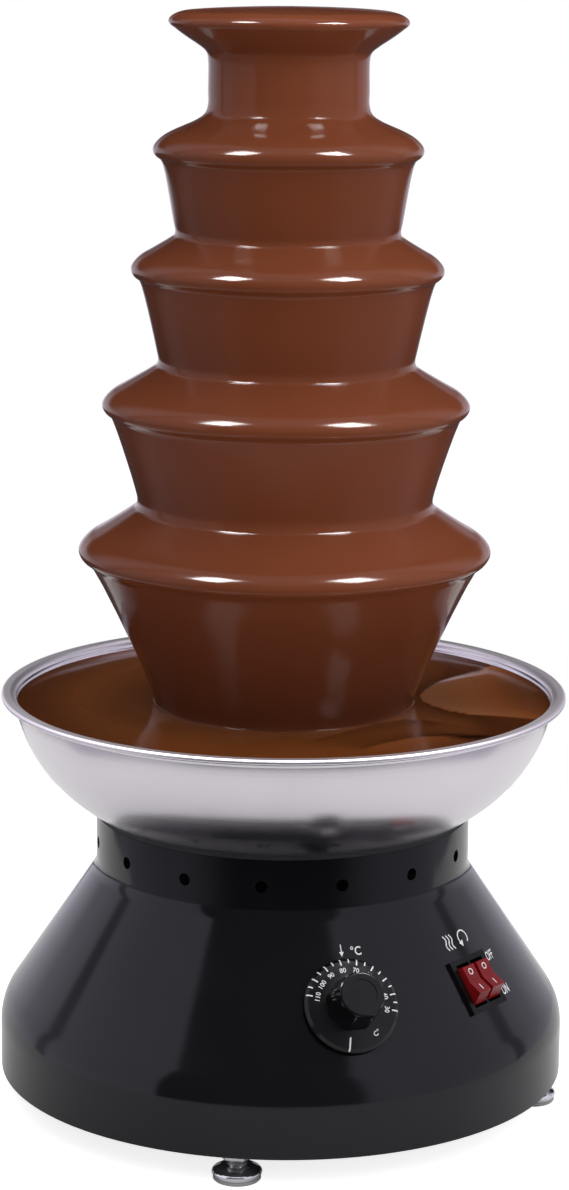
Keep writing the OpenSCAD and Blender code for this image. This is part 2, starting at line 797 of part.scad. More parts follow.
module tower_pins() {
    pin_r = tower_pin_d / 2;
    h = tower_foot_t + tower_pin_h;
    edge = 1;
    color("silver")
    at_turns(tower_pin_turns, tower_pin_circle, floor_top)
        spun(concat([[0, 0], [pin_r, 0]], arc([pin_r - edge, h - edge], edge, 0, 90, bend_steps), [[0, h]]));
}

// Three short pins in the tube under each tier's collar, grown by a gap for their holes
module tier_pin_set(gap) {
    pin_l = 6;
    // How far the pins show inside the tube
    pin_in = 0.2;
    for (i = [0:len(tier_d) - 1])
        at_turns([for (k = [0:2]) 60 + 120 * k], tube_in_r - pin_in, collar_z(i) - tier_pin_d / 2)
            rotate([90, 0, 0]) cylinder(d = tier_pin_d + 2 * gap, h = pin_l);
}

module tier_pins() {
    color("silver") tier_pin_set(0);
}

// Bottom of a tier's collar
function collar_z(i) = tier_top_z(i, collar_r, film_t) - tower_t / cos(tier_slope) - collar_h;

// Pressed tier: a collar that slides down the tube, a sloping top and an edge turned down
module tier(i) {
    outside = tier_line(i, collar_r, film_t);
    inside = tier_line(i, collar_r + tower_t, film_t + tower_t);
    edge_r = tier_d[i] / 2 - film_t;
    lip_z = tier_z[i] - tier_lip;
    color("#cfcfd3")
    spun(concat(outside, [[edge_r, lip_z], [edge_r - tower_t, lip_z]], reversed(inside),
        [[collar_r + tower_t, collar_z(i)], [collar_r, collar_z(i)]]));
}

// Outside of the dish's flare, moved out by t from the metal
function dish_line(t) =
    let (r0 = collar_r + tower_t + t, r1 = dish_r - film_t - 1 + t, pull = dish_flare_h * 0.42)
    bezier([r0, dish_foot_z], [r0, dish_foot_z + pull], [r1 - 4, dish_z - pull - t * 0.5],
        [r1, dish_z - 2 - t * 0.2]);

// Inside of the dish's flare above a height z, moved in by t from the metal
function dish_inside(z, t) =
    [for (p = reversed(dish_line(0))) if (p[1] > z) p + [-tower_t - t, tower_t * 0.3 + t]];

// Flared cup with a collar round the tube's end and a ledge that rests on it
module top_dish() {
    lip = dish_line(0);
    edge = lip[len(lip) - 1];
    ledge_t = 1;
    color("#cfcfd3")
    spun(concat([[collar_r, dish_foot_z - collar_h], [collar_r + tower_t, dish_foot_z - collar_h]], lip,
        [edge + [0, 1], edge + [-tower_t, 1]], dish_inside(tube_top + ledge_t, 0),
        [[tube_in_r, tube_top + ledge_t], [tube_in_r, tube_top], [collar_r, tube_top]]));
}

// Auger

// Core of the screw, with a six-sided socket in its lower end
module auger_core() {
    nose_r = 4;
    color("#e3dfd2")
    difference() {
        spun(concat([[0, core_bottom], [core_r, core_bottom]],
            arc([core_r - nose_r, core_top - nose_r], nose_r, 0, 90, bend_steps), [[0, core_top]]));
        translate([0, 0, core_bottom - cut])
            cylinder(d = drive_af / cos(30), h = socket_h + cut, $fn = 6);
    }
}

// Screw flight: a four-cornered section, thicker at the root, carried round and up the core
steps_per_turn = 36;
flight_low = core_bottom + 2 + flight_root_t / 2;
flight_h = core_top - core_bottom - 12;
flight_steps = round(flight_h / auger_pitch * steps_per_turn);
flight_in_r = core_r + 2 * touch_gap;
flight_corners = [[flight_in_r, -flight_root_t / 2], [flight_r, -flight_t / 2],
    [flight_r, flight_t / 2], [flight_in_r, flight_root_t / 2]];
function flight_ring(k) =
    let (a = 360 * k / steps_per_turn, z = flight_low + auger_pitch * k / steps_per_turn)
    [for (p = flight_corners) [p[0] * cos(a), p[0] * sin(a), z + p[1]]];

module auger_flight() {
    points = [for (k = [0:flight_steps]) each flight_ring(k)];
    sides = [for (k = [0:flight_steps - 1], j = [0:3])
        let (a = 4 * k + j, b = 4 * k + (j + 1) % 4)
        each [[a, b, a + 4], [b, b + 4, a + 4]]];
    last = 4 * flight_steps;
    ends = [[0, 2, 1], [0, 3, 2], [last, last + 1, last + 2], [last, last + 2, last + 3]];
    color("#e3dfd2")
    polyhedron(points, concat(sides, ends));
}

// Controls

// Capillary thermostat with a tab along the cone's straight line, held by two screws under the dial
module thermostat_body() {
    face = -housing_wall - tab_sag;
    tab_l = 2 * thermostat_screw_up + 12;
    color("#c8c4b8")
    on_cone(dial_turn, dial_up)
    difference() {
        union() {
            translate([-tab_w / 2, -tab_l / 2, face - tab_t]) cube([tab_w, tab_l, tab_t]);
            translate([-thermostat_w / 2, -thermostat_l / 2, face - tab_t - thermostat_d])
                cube([thermostat_w, thermostat_l, thermostat_d]);
            translate([0, 0, face - tab_t]) cylinder(d = bush_d, h = tab_t - face + dial_gap / 2);
        }
        translate([0, 0, spindle_bottom - spindle_end_gap])
            cylinder(d = spindle_d + 2 * run_gap, h = spindle_top - spindle_bottom);
        for (side = [-1, 1])
            translate([0, side * thermostat_screw_up, face - thermostat_screw_in - cut])
            cylinder(d = thermostat_screw_d + 2 * touch_gap, h = thermostat_screw_in + 2 * cut);
    }
}

module thermostat_screws() {
    shank_l = thermostat_screw_in + tab_sag + housing_wall + 2 * touch_gap;
    color("silver")
    on_cone(dial_turn, dial_up)
    for (side = [-1, 1])
        translate([0, side * thermostat_screw_up, -housing_wall - tab_sag - thermostat_screw_in]) {
            cylinder(d = thermostat_screw_d, h = shank_l);
            translate([0, 0, shank_l - touch_gap]) cylinder(d = thermostat_screw_d + 3, h = dial_gap / 2);
        }
}

// How deep the spindle goes into the thermostat, and the room under its end
spindle_in = 10;
spindle_end_gap = 2;
spindle_bottom = -housing_wall - tab_sag - spindle_in;
spindle_top = dial_gap + skirt_t + grip_h * 0.6;
flat_depth = 1;

// Round spindle with one flat, as the knob's hole has
module spindle_form(gap, top) {
    difference() {
        translate([0, 0, spindle_bottom]) cylinder(d = spindle_d + 2 * gap, h = top - spindle_bottom);
        translate([-spindle_d, spindle_d / 2 - flat_depth + gap, dial_gap])
            cube([2 * spindle_d, spindle_d, top]);
    }
}

module thermostat_spindle() {
    color("#b9bbbf") on_cone(dial_turn, dial_up) spindle_form(0, spindle_top);
}

// Dial with a bevelled edge and a turned grip with eight flats, with a shallow round hollow in its end
module thermostat_knob() {
    dial_r = dial_d / 2;
    flats = 8;
    flat_r = grip_af / 2;
    // Radius that the corners between the flats are turned down to, at the grip's foot and top
    corner_cut = 0.2;
    grip_r = flat_r / cos(180 / flats) - corner_cut;
    top_r = grip_r - grip_h * tan(grip_draft);
    face_z = dial_gap + skirt_t;
    top = face_z + grip_h;
    edge = 1.2;
    hollow_d = 12;
    hollow_h = 0.4;
    color("#1b1b1e")
    on_cone(dial_turn, dial_up)
    difference() {
        union() {
            spun([[0, dial_gap], [dial_r, dial_gap], [dial_r, dial_gap + edge],
                [dial_r - edge, face_z - edge / 2], [flat_r - edge, face_z], [0, face_z]]);
            difference() {
                spun(concat([[0, dial_gap], [grip_r, dial_gap], [grip_r, face_z]],
                    arc([top_r - edge, top - edge], edge, grip_draft, 90, bend_steps), [[0, top]]));
                for (i = [0:flats - 1])
                    rotate([0, 0, 360 * i / flats])
                    translate([flat_r, 0, face_z])
                    rotate([0, -grip_draft, 0])
                    translate([0, -dial_r, -grip_h]) cube([dial_r, dial_d, 3 * grip_h]);
            }
        }
        spindle_form(touch_gap, spindle_top + 2 * lift_gap);
        translate([0, 0, top - hollow_h]) cylinder(d = hollow_d, h = hollow_h + cut);
    }
}

rocker_places = [-rocker_pitch / 2, rocker_pitch / 2];

// Bezel and body of the double switch: the bezel's underside follows the cone
module switch_body() {
    frame_in = 4;
    pin_reach = rocker_pitch + rocker_w + 2 * rocker_pin_out + 2 * run_gap;
    color("#161618")
    difference() {
        union() {
            difference() {
                on_cone(switch_turn, switch_up)
                    translate([-frame_w / 2, -frame_l / 2, -frame_in])
                    cube([frame_w, frame_l, frame_in + bezel_t]);
                cone_face(touch_gap / cos(cone_lean));
            }
            on_cone(switch_turn, switch_up)
                translate([-body_w / 2, -body_l / 2, -body_d]) cube([body_w, body_l, body_d + bezel_t / 2]);
        }
        on_cone(switch_turn, switch_up) {
            for (x = rocker_places)
                translate([x - bay_w / 2, -bay_l / 2, -bay_depth]) cube([bay_w, bay_l, bay_depth + 10]);
            translate([-pin_reach / 2, 0, rocker_pivot_z])
                rotate([0, 90, 0]) cylinder(d = rocker_pin_d + 2 * run_gap, h = pin_reach);
        }
    }
}

module switch_terminals() {
    blade = [4.8, 0.8, 8];
    row = 6;
    color("#c9a45c")
    on_cone(switch_turn, switch_up)
    for (x = rocker_places)
        for (y = [-row, 0, row])
            translate([x - blade[0] / 2, y - blade[1] / 2, -body_d - blade[2]]) cube(blade);
}

// Rocker pressed in at its upper end: two sloping halves with bevelled ends, on a pin at each side
module rocker(x) {
    half = rocker_l / 2;
    ridge = half - rocker_bevel;
    side_h = rocker_rise + ridge * tan(rocker_tilt);
    pin_l = rocker_w + 2 * rocker_pin_out;
    bevel_h = 6;
    color("#c3161c")
    on_cone(switch_turn, switch_up)
    translate([x, 0, rocker_pivot_z])
    rotate([-rocker_tilt, 0, 0]) {
        translate([-rocker_w / 2, 0, 0])
            rotate([90, 0, 90])
            linear_extrude(rocker_w)
            polygon(concat([[0, rocker_rise], [-ridge, side_h], [-half, side_h - bevel_h]],
                arc([0, 0], rocker_depth, 200, 340, 8), [[half, side_h - bevel_h], [ridge, side_h]]));
        translate([-pin_l / 2, 0, 0]) rotate([0, 90, 0]) cylinder(d = rocker_pin_d, h = pin_l);
    }
}

// Chocolate

// Film over the dish and the tube, and the swell that rises out of the tube
module chocolate_crown() {
    outside = dish_line(film_t * 0.55);
    metal = dish_line(touch_gap);
    edge = metal[len(metal) - 1] + [0, 1 + touch_gap];
    neck_out = landing_r[0];
    foot_z = tier_top_z(0, neck_out) + touch_gap;
    neck_in = tube_r + touch_gap;
    inner_z = tier_top_z(0, neck_in) + touch_gap;
    collar_top = dish_foot_z - collar_h - touch_gap;
    swell_r = 4;
    swell = arc([dish_r - swell_r, dish_z], swell_r, -40, 70, bend_steps);
    fill_z = core_top + 2;
    color("#5a2d1b")
    spun(concat([[0, dish_z + crown_h]], reversed(swell), reversed(outside),
        [[neck_out, dish_foot_z - 4], [neck_out, foot_z], [neck_in, inner_z], [neck_in, collar_top],
        [collar_r + tower_t + touch_gap, collar_top]], metal,
        [edge, edge - [tower_t + 2 * touch_gap, 0]],
        dish_inside(fill_z, touch_gap), [[0, fill_z]]));
}

// Film on a tier, the bead round its edge and the sheet that falls from it to the next level
module chocolate_curtain(i) {
    tip = [tier_d[i] / 2, tier_z[i]];
    on_pool = i == len(tier_d) - 1;
    start_r = max(collar_r + touch_gap, landing_r[i] - sheet_t - 1.5);
    land_r = landing_r[i + 1];
    in_r = land_r - sheet_t;
    land = [land_r, touch_gap + (on_pool ? pool_z : tier_top_z(i + 1, land_r))];
    land_in = [in_r, touch_gap + (on_pool ? pool_z : tier_top_z(i + 1, in_r))];
    // The sheet leaves the bead under this brow, steeply, and the last one draws in like a bell
    brow = tip + [-6, -10.5];
    steep = [-1.3, -4];
    bead = bezier(tip, tip + [0, -3.5], brow - steep, brow, bend_steps);
    fall = on_pool ? bezier(brow, brow + 3 * steep, land + [7.6, 15], land, arc_steps)
        : bezier(brow, brow + 1.5 * steep, land + [2, 12], land, arc_steps);
    inside = [for (p = reversed(fall)) if (p[1] > land_in[1] + 1) p - [sheet_t, 0]];
    lip = [tip[0] - film_t + touch_gap, tip[1] - tier_lip - touch_gap];
    color("#5a2d1b")
    spun(concat(tier_line(i, start_r, 0), rest(bead), rest(fall), [land_in], inside, [lip],
        reversed(tier_line(i, start_r, film_t - touch_gap))));
}

// Pool that fills the bowl round the tower's foot and its pins
module chocolate_pool() {
    in_r = tube_r + lift_gap;
    step_r = tower_foot_r + 1;
    step_z = floor_top + tower_foot_t + tower_pin_h + 1;
    side_r = bowl_side_r - bowl_t - 2 * touch_gap;
    side = arc(side_c, side_r, -90, asin((pool_z - side_c[1]) / side_r), 2 * arc_steps);
    color("#4a2513")
    spun(concat([[in_r, step_z], [step_r, step_z], [step_r, side[0][1]]], side, [[in_r, pool_z]]));
}

base_housing();
base_plate();
foot_brackets();
foot_nuts();
foot_lock_nuts();
foot(foot_turns[0]);  // foot_front
foot(foot_turns[1]);  // foot_right
foot(foot_turns[2]);  // foot_back
foot(foot_turns[3]);  // foot_left
glide(foot_turns[0]);  // glide_front
glide(foot_turns[1]);  // glide_right
glide(foot_turns[2]);  // glide_back
glide(foot_turns[3]);  // glide_left
cord_gland();
gland_nut();
terminal_block();
neck_brackets();
motor_plate();
gearbox_case();
motor_can();
gearbox_screws();
drive_shaft();
bowl();
bowl_seat_ring();
bowl_studs();
bowl_nuts();
heating_ring();
heater_clamp();
seal_housing();
seal_nut();
shaft_bush();
shaft_seal();
tower_tube();
tower_foot();
tower_pins();
tier_pins();
top_dish();
tier(0);  // tier_2
tier(1);  // tier_3
tier(2);  // tier_4
tier(3);  // tier_5
auger_core();
auger_flight();
thermostat_body();
thermostat_screws();
thermostat_spindle();
thermostat_knob();
switch_body();
switch_terminals();
rocker(rocker_places[0]);  // rocker_heat
rocker(rocker_places[1]);  // rocker_motor
chocolate_crown();
chocolate_curtain(0);  // chocolate_curtain_2
chocolate_curtain(1);  // chocolate_curtain_3
chocolate_curtain(2);  // chocolate_curtain_4
chocolate_curtain(3);  // chocolate_curtain_5
chocolate_pool();
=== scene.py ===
"""Looks of the chocolate fountain: finishes, bowl, running chocolate, prints, studio and camera.

Sizes are in millimetres in the part's own frame, with the front towards -Y, and become metres in
each mesh. The studio and the camera are in metres.
"""

import json
import math

import bpy
import numpy as np
from mathutils import Matrix, Vector

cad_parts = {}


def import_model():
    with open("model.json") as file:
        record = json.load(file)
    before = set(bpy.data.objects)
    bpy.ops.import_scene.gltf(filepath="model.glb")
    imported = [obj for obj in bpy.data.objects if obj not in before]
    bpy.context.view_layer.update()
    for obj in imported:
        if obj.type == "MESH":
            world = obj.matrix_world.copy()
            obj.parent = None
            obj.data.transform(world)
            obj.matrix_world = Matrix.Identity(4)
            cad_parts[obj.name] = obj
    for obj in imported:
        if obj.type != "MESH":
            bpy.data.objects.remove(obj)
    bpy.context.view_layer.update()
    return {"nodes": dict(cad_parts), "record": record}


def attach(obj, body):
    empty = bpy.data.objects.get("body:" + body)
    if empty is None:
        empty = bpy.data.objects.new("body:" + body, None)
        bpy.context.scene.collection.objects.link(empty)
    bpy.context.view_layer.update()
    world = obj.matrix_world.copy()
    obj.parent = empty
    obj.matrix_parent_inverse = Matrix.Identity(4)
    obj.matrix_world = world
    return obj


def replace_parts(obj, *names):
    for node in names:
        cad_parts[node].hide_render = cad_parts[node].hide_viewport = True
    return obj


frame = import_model()
scene = bpy.context.scene
scene.view_settings.view_transform = "Standard"

MM = 0.001

# Sizes shared with the part
BASE_R, NECK_R = 118.0, 77.8
SKIRT_Z, CONE_H = 39.0, 60.0
CONE_LEAN = math.atan((BASE_R - NECK_R) / CONE_H)
RIM_R, RIM_Z, RIM_W, RIM_BEND_R = 116.65, 172.99, 3.2, 2.0
POOL_Z = RIM_Z - 4.7
BOWL_SIDE_R, BOWL_SIDE_C, BOWL_T = 64.3, (48.0, 180.6), 1.0
TUBE_R = 30.0
DIAL_TURN, DIAL_UP = 15.9, 34.2
DIAL_FACE_Z, DIAL_FACE_R, DIAL_EDGE_Z, DIAL_R = 4.2, 17.8, 2.4, 19.0
DIAL_FACE_DROP, DIAL_FACE_IN_R = 0.6, 9.0
SWITCH_TURN, SWITCH_UP = 52.3, 32.9
ROCKER_PITCH, ROCKER_TILT, ROCKER_PIVOT_Z, ROCKER_RISE = 9.4, 12.0, -2.0, 5.6

# Sizes of the looks alone. AXIS_R stands in for the axis, where a ring needs some radius
BEAD_R = 1.2
AXIS_R = 0.05
INK_LIFT = 0.06
FILM_TURNS, BOWL_TURNS, POOL_TURNS = 224, 288, 288
TINY = 1e-6


def add_node(tree, kind, inputs=None, **settings):
    """A shader node with its settings, and with its inputs linked or set."""
    made = tree.nodes.new("ShaderNode" + kind)
    for key, value in settings.items():
        setattr(made, key, value)
    for key, value in (inputs or {}).items():
        if isinstance(value, bpy.types.NodeSocket):
            tree.links.new(value, made.inputs[key])
        else:
            made.inputs[key].default_value = value
    return made


# Finishes

class Finish:
    """A Principled material, with short calls for the nodes that vary it."""

    def __init__(self, name, sockets):
        self.material = bpy.data.materials.new(name)
        self.material.use_nodes = True
        self.tree = self.material.node_tree
        self.shader = self.tree.nodes["Principled BSDF"]
        for key, value in sockets.items():
            self.shader.inputs[key].default_value = value

    def node(self, kind, inputs=None, **settings):
        return add_node(self.tree, kind, inputs, **settings)

    def place(self):
        return self.node("TexCoord").outputs["Object"]

    def height(self):
        return self.node("SeparateXYZ", {0: self.place()}).outputs["Z"]

    def math(self, operation, a, b=0.0):
        return self.node("Math", {0: a, 1: b}, operation=operation).outputs[0]

    def noise(self, scale, detail, vector=None):
        inputs = {"Vector": vector or self.place(), "Scale": scale, "Detail": detail}
        return self.node("TexNoise", inputs).outputs["Fac"]

    def turned(self, across, along):
        """Place for lines that run round the axis: fine across them, slow along them."""
        x, y, z = self.node("SeparateXYZ", {0: self.place()}).outputs
        square = self.math("ADD", self.math("MULTIPLY", x, x), self.math("MULTIPLY", y, y))
        ring = self.math("MULTIPLY", self.math("SQRT", square), across)
        first = self.math("ADD", ring, self.math("MULTIPLY", x, along))
        return self.node("CombineXYZ", {0: first, 1: self.math("MULTIPLY", y, along),
                                        2: self.math("MULTIPLY", z, across)}).outputs[0]

    def spread(self, value, low, high, start=0.3, end=0.7):
        """The value from start to end, moved to run from low to high."""
        inputs = {"Value": value, "From Min": start, "From Max": end, "To Min": low, "To Max": high}
        return self.node("MapRange", inputs).outputs["Result"]

    def ramp(self, value, *stops):
        """Colour that runs through the stops, each a position and a colour."""
        made = self.node("ValToRGB", {"Fac": value})
        elements = made.color_ramp.elements
        while len(elements) < len(stops):
            elements.new(0.5)
        for element, (position, rgb) in zip(elements, stops):
            element.position = position
            element.color = (*rgb, 1.0)
        return made.outputs["Color"]

    def paint(self, color):
        self.tree.links.new(color, self.shader.inputs["Base Color"])

    def color(self, value, *stops):
        self.paint(self.ramp(value, *stops))

    def roughness(self, value):
        self.tree.links.new(value, self.shader.inputs["Roughness"])

    def bump(self, height, depth, strength=1.0):
        """Relief of a depth in millimetres."""
        made = self.node("Bump", {"Height": height, "Distance": depth * MM, "Strength": strength})
        self.tree.links.new(made.outputs["Normal"], self.shader.inputs["Normal"])


def black_paint():
    f = Finish("black_paint", {"Specular IOR Level": 0.35, "Specular Tint": (0.95, 0.93, 1.0, 1.0)})
    f.color(f.noise(18, 5), (0.35, (0.0028, 0.0028, 0.0034)), (0.65, (0.0042, 0.0041, 0.0049)))
    f.roughness(f.spread(f.noise(34, 6), 0.08, 0.13))
    f.bump(f.noise(330, 2), 0.012, 0.35)
    return f


def dark_steel():
    f = Finish("dark_steel", {"Metallic": 0.1})
    f.color(f.noise(60, 5), (0.3, (0.05, 0.05, 0.054)), (0.7, (0.085, 0.085, 0.09)))
    f.roughness(f.spread(f.noise(90, 4), 0.42, 0.6))
    f.bump(f.noise(1400, 2), 0.03, 0.5)
    return f


def zinc_steel():
    f = Finish("zinc_steel", {"Metallic": 1.0})
    f.color(f.noise(120, 5), (0.3, (0.52, 0.53, 0.56)), (0.7, (0.68, 0.68, 0.66)))
    f.roughness(f.spread(f.noise(400, 4), 0.26, 0.42))
    f.bump(f.noise(900, 3), 0.01, 0.4)
    return f


def chrome():
    """Bright plating, with the thread of the levelling feet above their pads."""
    thread_pitch, pad_top, thread_depth = 1.25, 6.2, 0.35
    f = Finish("chrome", {"Metallic": 1.0})
    f.color(f.noise(70, 4), (0.3, (0.72, 0.72, 0.74)), (0.7, (0.83, 0.83, 0.85)))
    f.roughness(f.spread(f.noise(160, 5), 0.05, 0.13))
    height = f.height()
    thread = f.math("SINE", f.math("MULTIPLY", height, 2 * math.pi / (thread_pitch * MM)))
    on_stud = f.math("GREATER_THAN", height, pad_top * MM)
    f.bump(f.math("MULTIPLY", thread, on_stud), thread_depth)
    return f


def grey_plastic():
    f = Finish("grey_plastic", {"Specular IOR Level": 0.4})
    f.color(f.noise(140, 4), (0.3, (0.27, 0.27, 0.28)), (0.7, (0.34, 0.34, 0.35)))
    f.roughness(f.spread(f.noise(500, 3), 0.48, 0.6))
    f.bump(f.noise(2200, 2), 0.02, 0.5)
    return f


def black_plastic():
    f = Finish("black_plastic", {"Specular IOR Level": 0.28})
    f.color(f.noise(90, 5), (0.35, (0.0035, 0.0035, 0.004)), (0.65, (0.006, 0.006, 0.007)))
    f.roughness(f.spread(f.noise(260, 4), 0.12, 0.18))
    f.bump(f.noise(2600, 2), 0.01, 0.5)
    return f


def cream_plastic():
    f = Finish("cream_plastic", {"Subsurface Weight": 0.08, "Subsurface Scale": 0.002})
    f.color(f.noise(60, 4), (0.3, (0.7, 0.66, 0.56)), (0.7, (0.8, 0.77, 0.68)))
    f.roughness(f.spread(f.noise(300, 3), 0.35, 0.48))
    f.bump(f.noise(1500, 2), 0.015, 0.4)
    return f


def cast_aluminium():
    f = Finish("cast_aluminium", {"Metallic": 1.0})
    f.color(f.noise(200, 5), (0.3, (0.46, 0.47, 0.48)), (0.7, (0.6, 0.61, 0.62)))
    f.roughness(f.spread(f.noise(700, 4), 0.42, 0.6))
    f.bump(f.noise(1100, 4), 0.06, 0.6)
    return f


def stainless_steel():
    """Satin steel with fine lines round the axis, as spinning leaves them, duller at the rim."""
    rim_start, rim_end, duller = (RIM_Z - 2.0) * MM, (RIM_Z - 1.0) * MM, 0.16
    f = Finish("stainless_steel", {"Metallic": 1.0, "Anisotropic": 0.25})
    lines = f.noise(1.0, 4, f.turned(across=1500.0, along=9.0))
    f.color(f.noise(26, 5), (0.3, (0.7, 0.664, 0.705)), (0.7, (0.74, 0.702, 0.745)))
    rim = f.spread(f.height(), 0.0, duller, rim_start, rim_end)
    f.roughness(f.math("ADD", f.spread(lines, 0.2, 0.25), rim))
    f.bump(lines, 0.001, 0.2)
    return f


def silicone():
    f = Finish("silicone", {"Specular IOR Level": 0.3})
    f.color(f.noise(150, 4), (0.3, (0.012, 0.012, 0.013)), (0.7, (0.024, 0.024, 0.026)))
    f.roughness(f.spread(f.noise(500, 3), 0.5, 0.68))
    f.bump(f.noise(1800, 2), 0.02, 0.4)
    return f


def brass():
    f = Finish("brass", {"Metallic": 1.0})
    f.color(f.noise(160, 4), (0.3, (0.6, 0.42, 0.17)), (0.7, (0.74, 0.55, 0.27)))
    f.roughness(f.spread(f.noise(600, 4), 0.2, 0.34))
    f.bump(f.noise(1300, 3), 0.008, 0.4)
    return f


def red_plastic():
    f = Finish("red_plastic", {"Subsurface Weight": 0.35, "Subsurface Scale": 0.003,
                               "Subsurface Radius": (1.0, 0.1, 0.08),
                               "Specular IOR Level": 0.3, "Coat Weight": 0.1})
    f.color(f.noise(240, 3), (0.3, (0.165, 0.0045, 0.0055)), (0.7, (0.225, 0.007, 0.008)))
    f.roughness(f.spread(f.noise(420, 3), 0.14, 0.22))
    f.bump(f.noise(800, 2), 0.006, 0.4)
    return f


def chocolate():
    """Milk chocolate, with painted shade low on the tower and painted light on its neck and crown.

    The pool's mesh carries the painted light and shade of each of its folds.
    """
    # Painted shade low on the tower and painted light on the neck and crown, as values that scale the
    # sheet's colour
    low_painted_shade, neck_painted_light, crown_painted_light, least_fold = 0.45, 1.3, 1.1, 0.1
    # Heights in metres over which the painted shade and the painted light change
    low, neck_foot, neck_top = (0.172, 0.244), (0.402, 0.414), (0.429, 0.441)
    f = Finish("chocolate", {"Specular IOR Level": 0.14, "Subsurface Weight": 0.05,
                             "Subsurface Scale": 0.002})
    sheet = f.ramp(f.noise(14, 4), (0.3, (0.186, 0.0495, 0.021)), (0.7, (0.212, 0.058, 0.0248)))
    height = f.height()
    # Painted light, most on the neck and a little less on the crown
    neck = f.math("MINIMUM", f.spread(height, 1.0, neck_painted_light, *neck_foot),
                  f.spread(height, neck_painted_light, crown_painted_light, *neck_top))
    # Painted shade low on the tower, times the painted light of the neck and crown
    value = f.math("MULTIPLY", f.spread(height, low_painted_shade, 1.0, *low), neck)
    sheet = f.node("HueSaturation", {"Value": value, "Color": sheet}).outputs[0]
    # Painted light and shade of the pool's folds, kept on its mesh, choose the pool's colour
    fold_painted_shading = f.node("Attribute", attribute_name="fold_painted_shading").outputs["Fac"]
    pool = f.ramp(fold_painted_shading, (0.2, (0.012, 0.003, 0.0006)), (0.3, (0.05, 0.0115, 0.002)),
                  (0.62, (0.172, 0.05, 0.0125)), (1.0, (0.235, 0.09, 0.04)))
    in_pool = f.math("GREATER_THAN", fold_painted_shading, least_fold)
    f.paint(f.node("Mix", {0: in_pool, 6: sheet, 7: pool}, data_type="RGBA").outputs[2])
    f.roughness(f.spread(f.noise(40, 4), 0.1, 0.15))
    f.bump(f.noise(70, 3), 0.05, 0.3)
    return f


def white_ink():
    f = Finish("white_ink", {"Specular IOR Level": 0.4})
    f.color(f.noise(900, 4), (0.25, (0.62, 0.62, 0.63)), (0.55, (0.82, 0.82, 0.82)))
    f.roughness(f.spread(f.noise(1200, 3), 0.4, 0.55))
    return f


FINISHES = {make.__name__: make().material for make in (
    black_paint, dark_steel, zinc_steel, chrome, grey_plastic, black_plastic, cream_plastic,
    cast_aluminium, stainless_steel, silicone, brass, red_plastic, chocolate, white_ink)}

for part in frame["record"]["subparts"]:
    slots = frame["nodes"][part["node"]].data.materials
    slots.clear()
    slots.append(FINISHES[part["material_slot"]])


# Meshes

def piece(name, points, faces, finish, body):
    """A smooth mesh from points in millimetres, riding on a body."""
    mesh = bpy.data.meshes.new(name)
    mesh.from_pydata((np.asarray(points, float) * MM).tolist(), [], faces)
    mesh.update()
    mesh.polygons.foreach_set("use_smooth", [True] * len(mesh.polygons))
    mesh.materials.append(FINISHES[finish])
    made = bpy.data.objects.new(name, mesh)
    scene.collection.objects.link(made)
    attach(made, body)
    return made


def spline(points, steps):
    """Smooth curve through the points, with a count of steps from each one to the next."""
    p = np.asarray(points, float)
    p = np.vstack([2 * p[0] - p[1], p, 2 * p[-1] - p[-2]])
    curve = []
    for a, b, c, d in zip(p, p[1:], p[2:], p[3:]):
        spans = [max(np.linalg.norm(v - u), TINY) ** 0.5 for u, v in ((a, b), (b, c), (c, d))]
        k = np.cumsum([0.0] + spans)

        def between(u, v, i, j, t):
            return (u * (k[j] - t) + v * (t - k[i])) / (k[j] - k[i])

        for t in np.linspace(k[1], k[2], steps, endpoint=False):
            ab, bc, cd = between(a, b, 0, 1, t), between(b, c, 1, 2, t), between(c, d, 2, 3, t)
            curve.append(between(between(ab, bc, 0, 2, t), between(bc, cd, 1, 3, t), 1, 2, t))
    curve.append(p[-2])
    return np.array(curve)


def turns_of(count):
    """Angles from the front of the points of a ring."""
    return np.arange(count)[None, :] * 2 * math.pi / count


def on_plane(radius, turn):
    return radius * np.sin(turn), -radius * np.cos(turn)


def lathe(name, section, sharp, shape, turns, finish="chocolate"):
    """Closed ring of a section of radius and height, with sharp rows; shape moves its points."""
    rows = len(section)
    turn = turns_of(turns)
    radius, height = shape(section[:, :1], section[:, 1:], turn)
    x, y = on_plane(radius, turn)
    points = np.stack([x, y, np.broadcast_to(height, x.shape)], axis=-1).reshape(-1, 3)
    i, j = np.meshgrid(np.arange(rows), np.arange(turns), indexing="ij")
    down, on = (i + 1) % rows, (j + 1) % turns
    faces = np.stack([i * turns + j, down * turns + j, down * turns + on, i * turns + on], axis=-1)
    made = piece(name, points, faces.reshape(-1, 4).tolist(), finish, "base")
    edges = np.empty(2 * len(made.data.edges), int)
    made.data.edges.foreach_get("vertices", edges)
    row = edges.reshape(-1, 2) // turns
    hard = (row[:, 0] == row[:, 1]) & np.isin(row[:, 0], [k % rows for k in sharp])
    made.data.attributes.new("sharp_edge", "BOOLEAN", "EDGE").data.foreach_set("value", hard)
    return made


def arc_points(radius, start, end, middle=(0.0, 0.0), steps=16):
    angles = np.radians(np.linspace(start, end, steps + 1))
    x, y = middle[0] + radius * np.cos(angles), middle[1] + radius * np.sin(angles)
    return np.stack([x, y], axis=-1)


# Bowl, with the same section as the part's and a rounder bead

